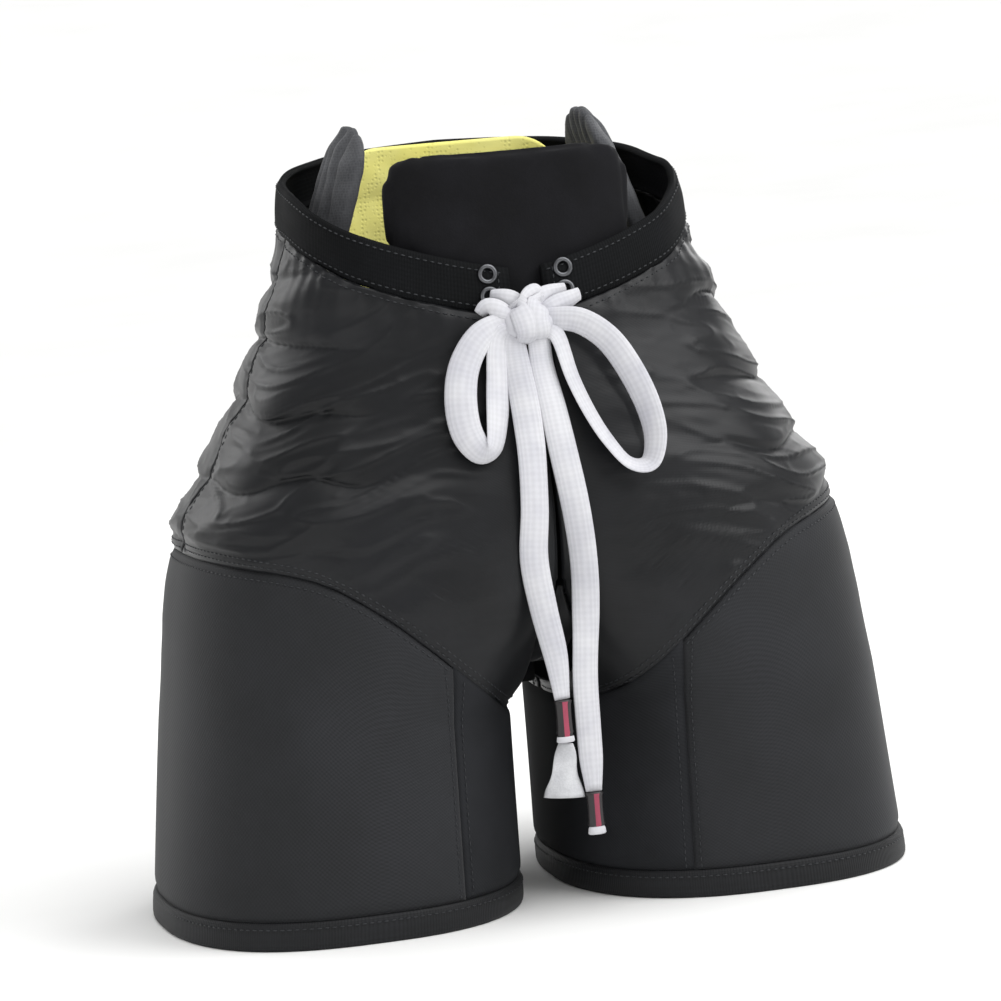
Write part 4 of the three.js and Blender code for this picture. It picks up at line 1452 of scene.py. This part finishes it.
@dataclass
class Lace:
    """The tied lace: knot, two loops, two hanging tails and their sleeved ends."""

    ribbon: Ribbon = Ribbon(15, 1.8, cup=1.3)
    knot_centre: tuple[float, float, float] = (-4, -103.8, 336)
    knot_half: tuple[float, float, float] = (14.5, 6.8, 9.8)
    sleeve_length: float = 24
    sleeve_flatness: float = 0.55
    stripe_turn: tuple[float, float] = (-30, 42)
    stripe_top: float = 2
    frayed: tuple[float, float] = (101, 70)
    frayed_steps: int = 14

    def strand(self, strand: Strand) -> bpy.types.Object:
        """Makes one stretch of the flat lace."""
        turns, widths = Profile(strand.turns), Profile(strand.widths)
        obj = new_object(strand.name + "_ribbon", self.ribbon.mesh(strand.line(), turns.at, widths.at))
        WARDROBE.put(obj, COTTON)
        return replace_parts(obj, strand.name)

    def sleeve(self, side: Side, end: Array, tip: float) -> bpy.types.Object:
        """The shrunk sleeve at the end of a tail: dark, with a red stripe and a pale lace tip.

        Args:
            side: which tail.
            end: the end of the tail's line, in millimetres.
            tip: how long the pale tip is.

        Returns:
            The sleeve.
        """
        profile = (
            (0, -0.4), (4.4, -0.4), (5.2, -1.2), (4.6, -3.0), (4.4, -10), (4.6, -17), (5.0, -19.0), (4.3, -20),
            (4.9, -21.0), (5.3, -23.8), (4.6, -24.4), (0, -24.4),
        )
        bm = turned(profile, 28, closed=False)
        bmesh.ops.scale(bm, vec=(1, self.sleeve_flatness, 1), verts=bm.verts)
        first, last = self.stripe_turn
        for face in bm.faces:
            middle = face.calc_center_median()
            around = math.degrees(math.atan2(middle.x, -middle.y))
            if -middle.z > (self.sleeve_length - tip) * MM:
                face.material_index = 2
            elif first < around < last and -middle.z > self.stripe_top * MM:
                face.material_index = 1
        bmesh.ops.translate(bm, vec=Vector(end) * MM, verts=bm.verts)
        name = side.named("aglet")
        obj = WARDROBE.put(new_object(name + "_sleeve", bm), SLEEVE)
        obj.data.materials.append(WARDROBE.get(STRIPE))
        obj.data.materials.append(WARDROBE.get(COTTON))
        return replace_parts(obj, name)

    def frayed_end(self, end: Array) -> bpy.types.Object:
        """The loose end of the cloth lace that flares out under the shorter tail's sleeve."""
        (top, foot), steps = self.frayed, self.frayed_steps
        across = np.linspace(end[0], end[0] - 2.5, steps)
        line = np.stack([across, np.full(steps, end[1]), np.linspace(top, foot, steps)], axis=1)
        widths = Profile(((0, 0.55), (0.2, 0.8), (0.6, 1.15), (0.85, 1.5), (1, 1.6)))
        turns = Profile(((0, 30), (0.5, -10), (1, 6)))
        obj = new_object("lace_frayed_end", self.ribbon.mesh(line, turns.at, widths.at))
        points = coordinates(obj)
        points[:, 1] += noise_at(points / MM, (5, 20, 30), 101.0) * 1.6 * MM
        put_coordinates(obj, points)
        return WARDROBE.put(obj, COTTON_END)

    def knot(self) -> bpy.types.Object:
        """The knot: a lumpy core, two wraps of lace over it, and the stretches that run to the eyelets."""
        centre = np.array(self.knot_centre, float)
        bm = bmesh.new()
        shape = Matrix.Translation(centre * MM) @ Matrix.Diagonal((*(half * MM for half in self.knot_half), 1))
        bmesh.ops.create_uvsphere(bm, u_segments=40, v_segments=24, radius=1, matrix=shape)
        points = np.array([v.co for v in bm.verts]) / MM
        lumps = noise_at(points, (8, 8, 6), 111.0) * 1.5
        for vert, lump, point in zip(bm.verts, lumps, points, strict=True):
            out = Vector(point - centre).normalized()
            vert.co += out * float(lump) * MM
        wraps = (
            (15, 8, ((-9, -97, 344), (-9, -107, 345.5), (-7, -111, 338), (-6, -110.5, 330), (-7, -104, 325))),
            (15, -10, ((3, -97, 346), (2, -107, 346), (0, -110.5, 338), (1, -110, 330), (1, -103, 325.5))),
            (11, 30, ((-12, -104, 341), (-19, -104, 345), (-26, -101.5, 346.5), (-30, -98.5, 343))),
            (11, -24, ((4, -104, 341), (12, -104, 344.5), (21, -101.5, 346.5), (29, -98.5, 349))),
            (11, 15, ((-4, -103, 344), (-10, -101, 349), (-17, -98, 351), (-22, -94.5, 352))),
            (11, -12, ((-2, -103, 345), (6, -101, 349.5), (15, -98, 351), (22, -94.5, 352))),
            (11, 20, ((-5, -106, 343), (-3, -104.5, 349), (2, -102, 352.5), (6, -99.5, 352))),
        )
        slim = Profile(((0, 0.75), (0.5, 1.0), (1, 0.7)))
        for width, tilt, route in wraps:
            facing = Profile(((0, tilt), (1, -tilt / 2)))
            poured(bm, Ribbon(width, self.ribbon.thickness, cup=1.4).mesh(smooth_line(route, 5), facing.at, slim.at))
        obj = new_object("lace_knot_wraps", bm)
        WARDROBE.put(obj, COTTON)
        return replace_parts(obj, "lace_knot")

    def build(self) -> list[bpy.types.Object]:
        """Makes the lace: the knot, the two loops, and the two tails with their ends."""
        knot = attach(self.knot(), "waist")
        made = [knot]
        for strand, side, tip in ((TAIL_LEFT, Side.LEFT, 4.5), (TAIL_RIGHT, Side.RIGHT, 3.0)):
            obj, line = self.strand(strand), strand.line()
            ends = [self.sleeve(side, line[-1], tip)]
            if side is Side.RIGHT:
                ends.append(self.frayed_end(line[-1]))
            for piece in [obj, *ends]:
                follow_leg(piece)
            made += [obj, *ends]
        for strand in (LOOP_LEFT, LOOP_RIGHT):
            obj, line = self.strand(strand), strand.line()
            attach(obj, "waist")
            made.append(obj)
        return made


# ---------- Studio ----------


@dataclass
class Studio:
    """The camera, the soft lights, the floor and the backdrop."""

    azimuth: float = -15
    elevation: float = 6.5
    roll: float = 4.5
    distance: float = 2.6
    target: tuple[float, float, float] = (0.0, 0.0, 0.226)
    seen_height: float = 0.585
    floor_half: float = 16
    flat_reach: float = 4
    sweep: float = 0.02
    sensor_mm: float = 36
    sky_strength: float = 2.1
    sky_spread: float = 60
    world_strength: float = 0.5
    lamps: tuple[tuple[str, tuple[float, float, float], float, float], ...] = (
        ("key", (1.5, -1.3, 1.5), 1.5, 24),
        ("fill", (-1.7, -1.5, 0.9), 1.3, 5),
        ("back_left", (-1.2, 1.6, 1.2), 0.9, 8),
        ("back_right", (1.4, 1.5, 1.0), 0.9, 8),
    )

    def camera(self) -> None:
        """Sets the camera at the viewing angle."""
        a, e = math.radians(self.azimuth), math.radians(self.elevation)
        back = Vector((math.sin(a) * math.cos(e), -math.cos(a) * math.cos(e), math.sin(e)))
        data = bpy.data.cameras.new("camera")
        data.sensor_width = self.sensor_mm
        data.lens = self.sensor_mm * self.distance / self.seen_height
        data.clip_start, data.clip_end = 0.05, 50
        obj = bpy.data.objects.new("camera", data)
        bpy.context.scene.collection.objects.link(obj)
        look = back.to_track_quat("Z", "Y").to_matrix().to_4x4()
        turn = Matrix.Rotation(-math.radians(self.roll), 4, "Z")
        obj.matrix_world = Matrix.Translation(Vector(self.target) + back * self.distance) @ look @ turn
        bpy.context.scene.camera = obj

    def light(self, name: str, spot: tuple[float, float, float], size: float, power_w: float) -> None:
        """Adds a soft square light that faces the pants."""
        data = bpy.data.lights.new(name, "AREA")
        data.shape, data.size, data.energy = "SQUARE", size, power_w
        obj = bpy.data.objects.new(name, data)
        bpy.context.scene.collection.objects.link(obj)
        way = Vector(self.target) - Vector(spot)
        obj.matrix_world = Matrix.Translation(spot) @ way.to_track_quat("-Z", "Y").to_matrix().to_4x4()

    def sky_light(self) -> None:
        """Adds a very soft light from high in front, even over the whole floor."""
        data = bpy.data.lights.new("sky", "SUN")
        data.energy, data.angle = self.sky_strength, math.radians(self.sky_spread)
        obj = bpy.data.objects.new("sky", data)
        bpy.context.scene.collection.objects.link(obj)
        obj.matrix_world = Matrix.Rotation(math.radians(14), 4, "X") @ Matrix.Rotation(math.radians(16), 4, "Y")

    def build(self) -> None:
        """Sets the whole stage."""
        self.camera()
        for name, spot, size, power_w in self.lamps:
            self.light(name, spot, size, power_w)
        self.sky_light()
        world = bpy.data.worlds.new("studio")
        world.use_nodes = True
        ground = world.node_tree.nodes["Background"]
        ground.inputs["Color"].default_value = linear("#ffffff")
        ground.inputs["Strength"].default_value = self.world_strength
        bpy.context.scene.world = world
        bpy.context.scene.view_settings.view_transform = "Standard"
        bm = bmesh.new()
        bmesh.ops.create_grid(bm, x_segments=64, y_segments=64, size=self.floor_half)
        for vert in bm.verts:
            vert.co.z = self.sweep * max(vert.co.xy.length - self.flat_reach, 0) ** 2
        floor = new_object("floor", bm)
        floor.data.materials.append(WARDROBE.get(BOARD))


def dress_plates() -> None:
    """Gives the plates and strips that the frame keeps their finishes."""
    kept = {side.named("fly_facing"): TAPE for side in Side}
    kept |= {side.named("kidney_guard"): GUARD for side in Side}
    kept["tailbone_guard"] = GUARD
    for name, finish in kept.items():
        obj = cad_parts[name]
        obj.data.materials.clear()
        WARDROBE.put(obj, replace(finish, name=finish.name + "_plain", on_cloth_map=False))


def main() -> None:
    """Builds the pants in order and reports each piece."""
    logging.basicConfig(level=logging.INFO, format="%(name)s: %(message)s")
    Studio().build()
    made = Lace().build()
    made += Shell().build()
    made += Bands().build()
    made += Pads().build()
    made += [HipPad().build(side) for side in Side]
    for side in Side:
        made += ThighLayers().build(side)
    dress_plates()
    for obj in made:
        LOG.info("%s: %d faces", obj.name, len(obj.data.polygons))


if __name__ == "__main__":
    main()
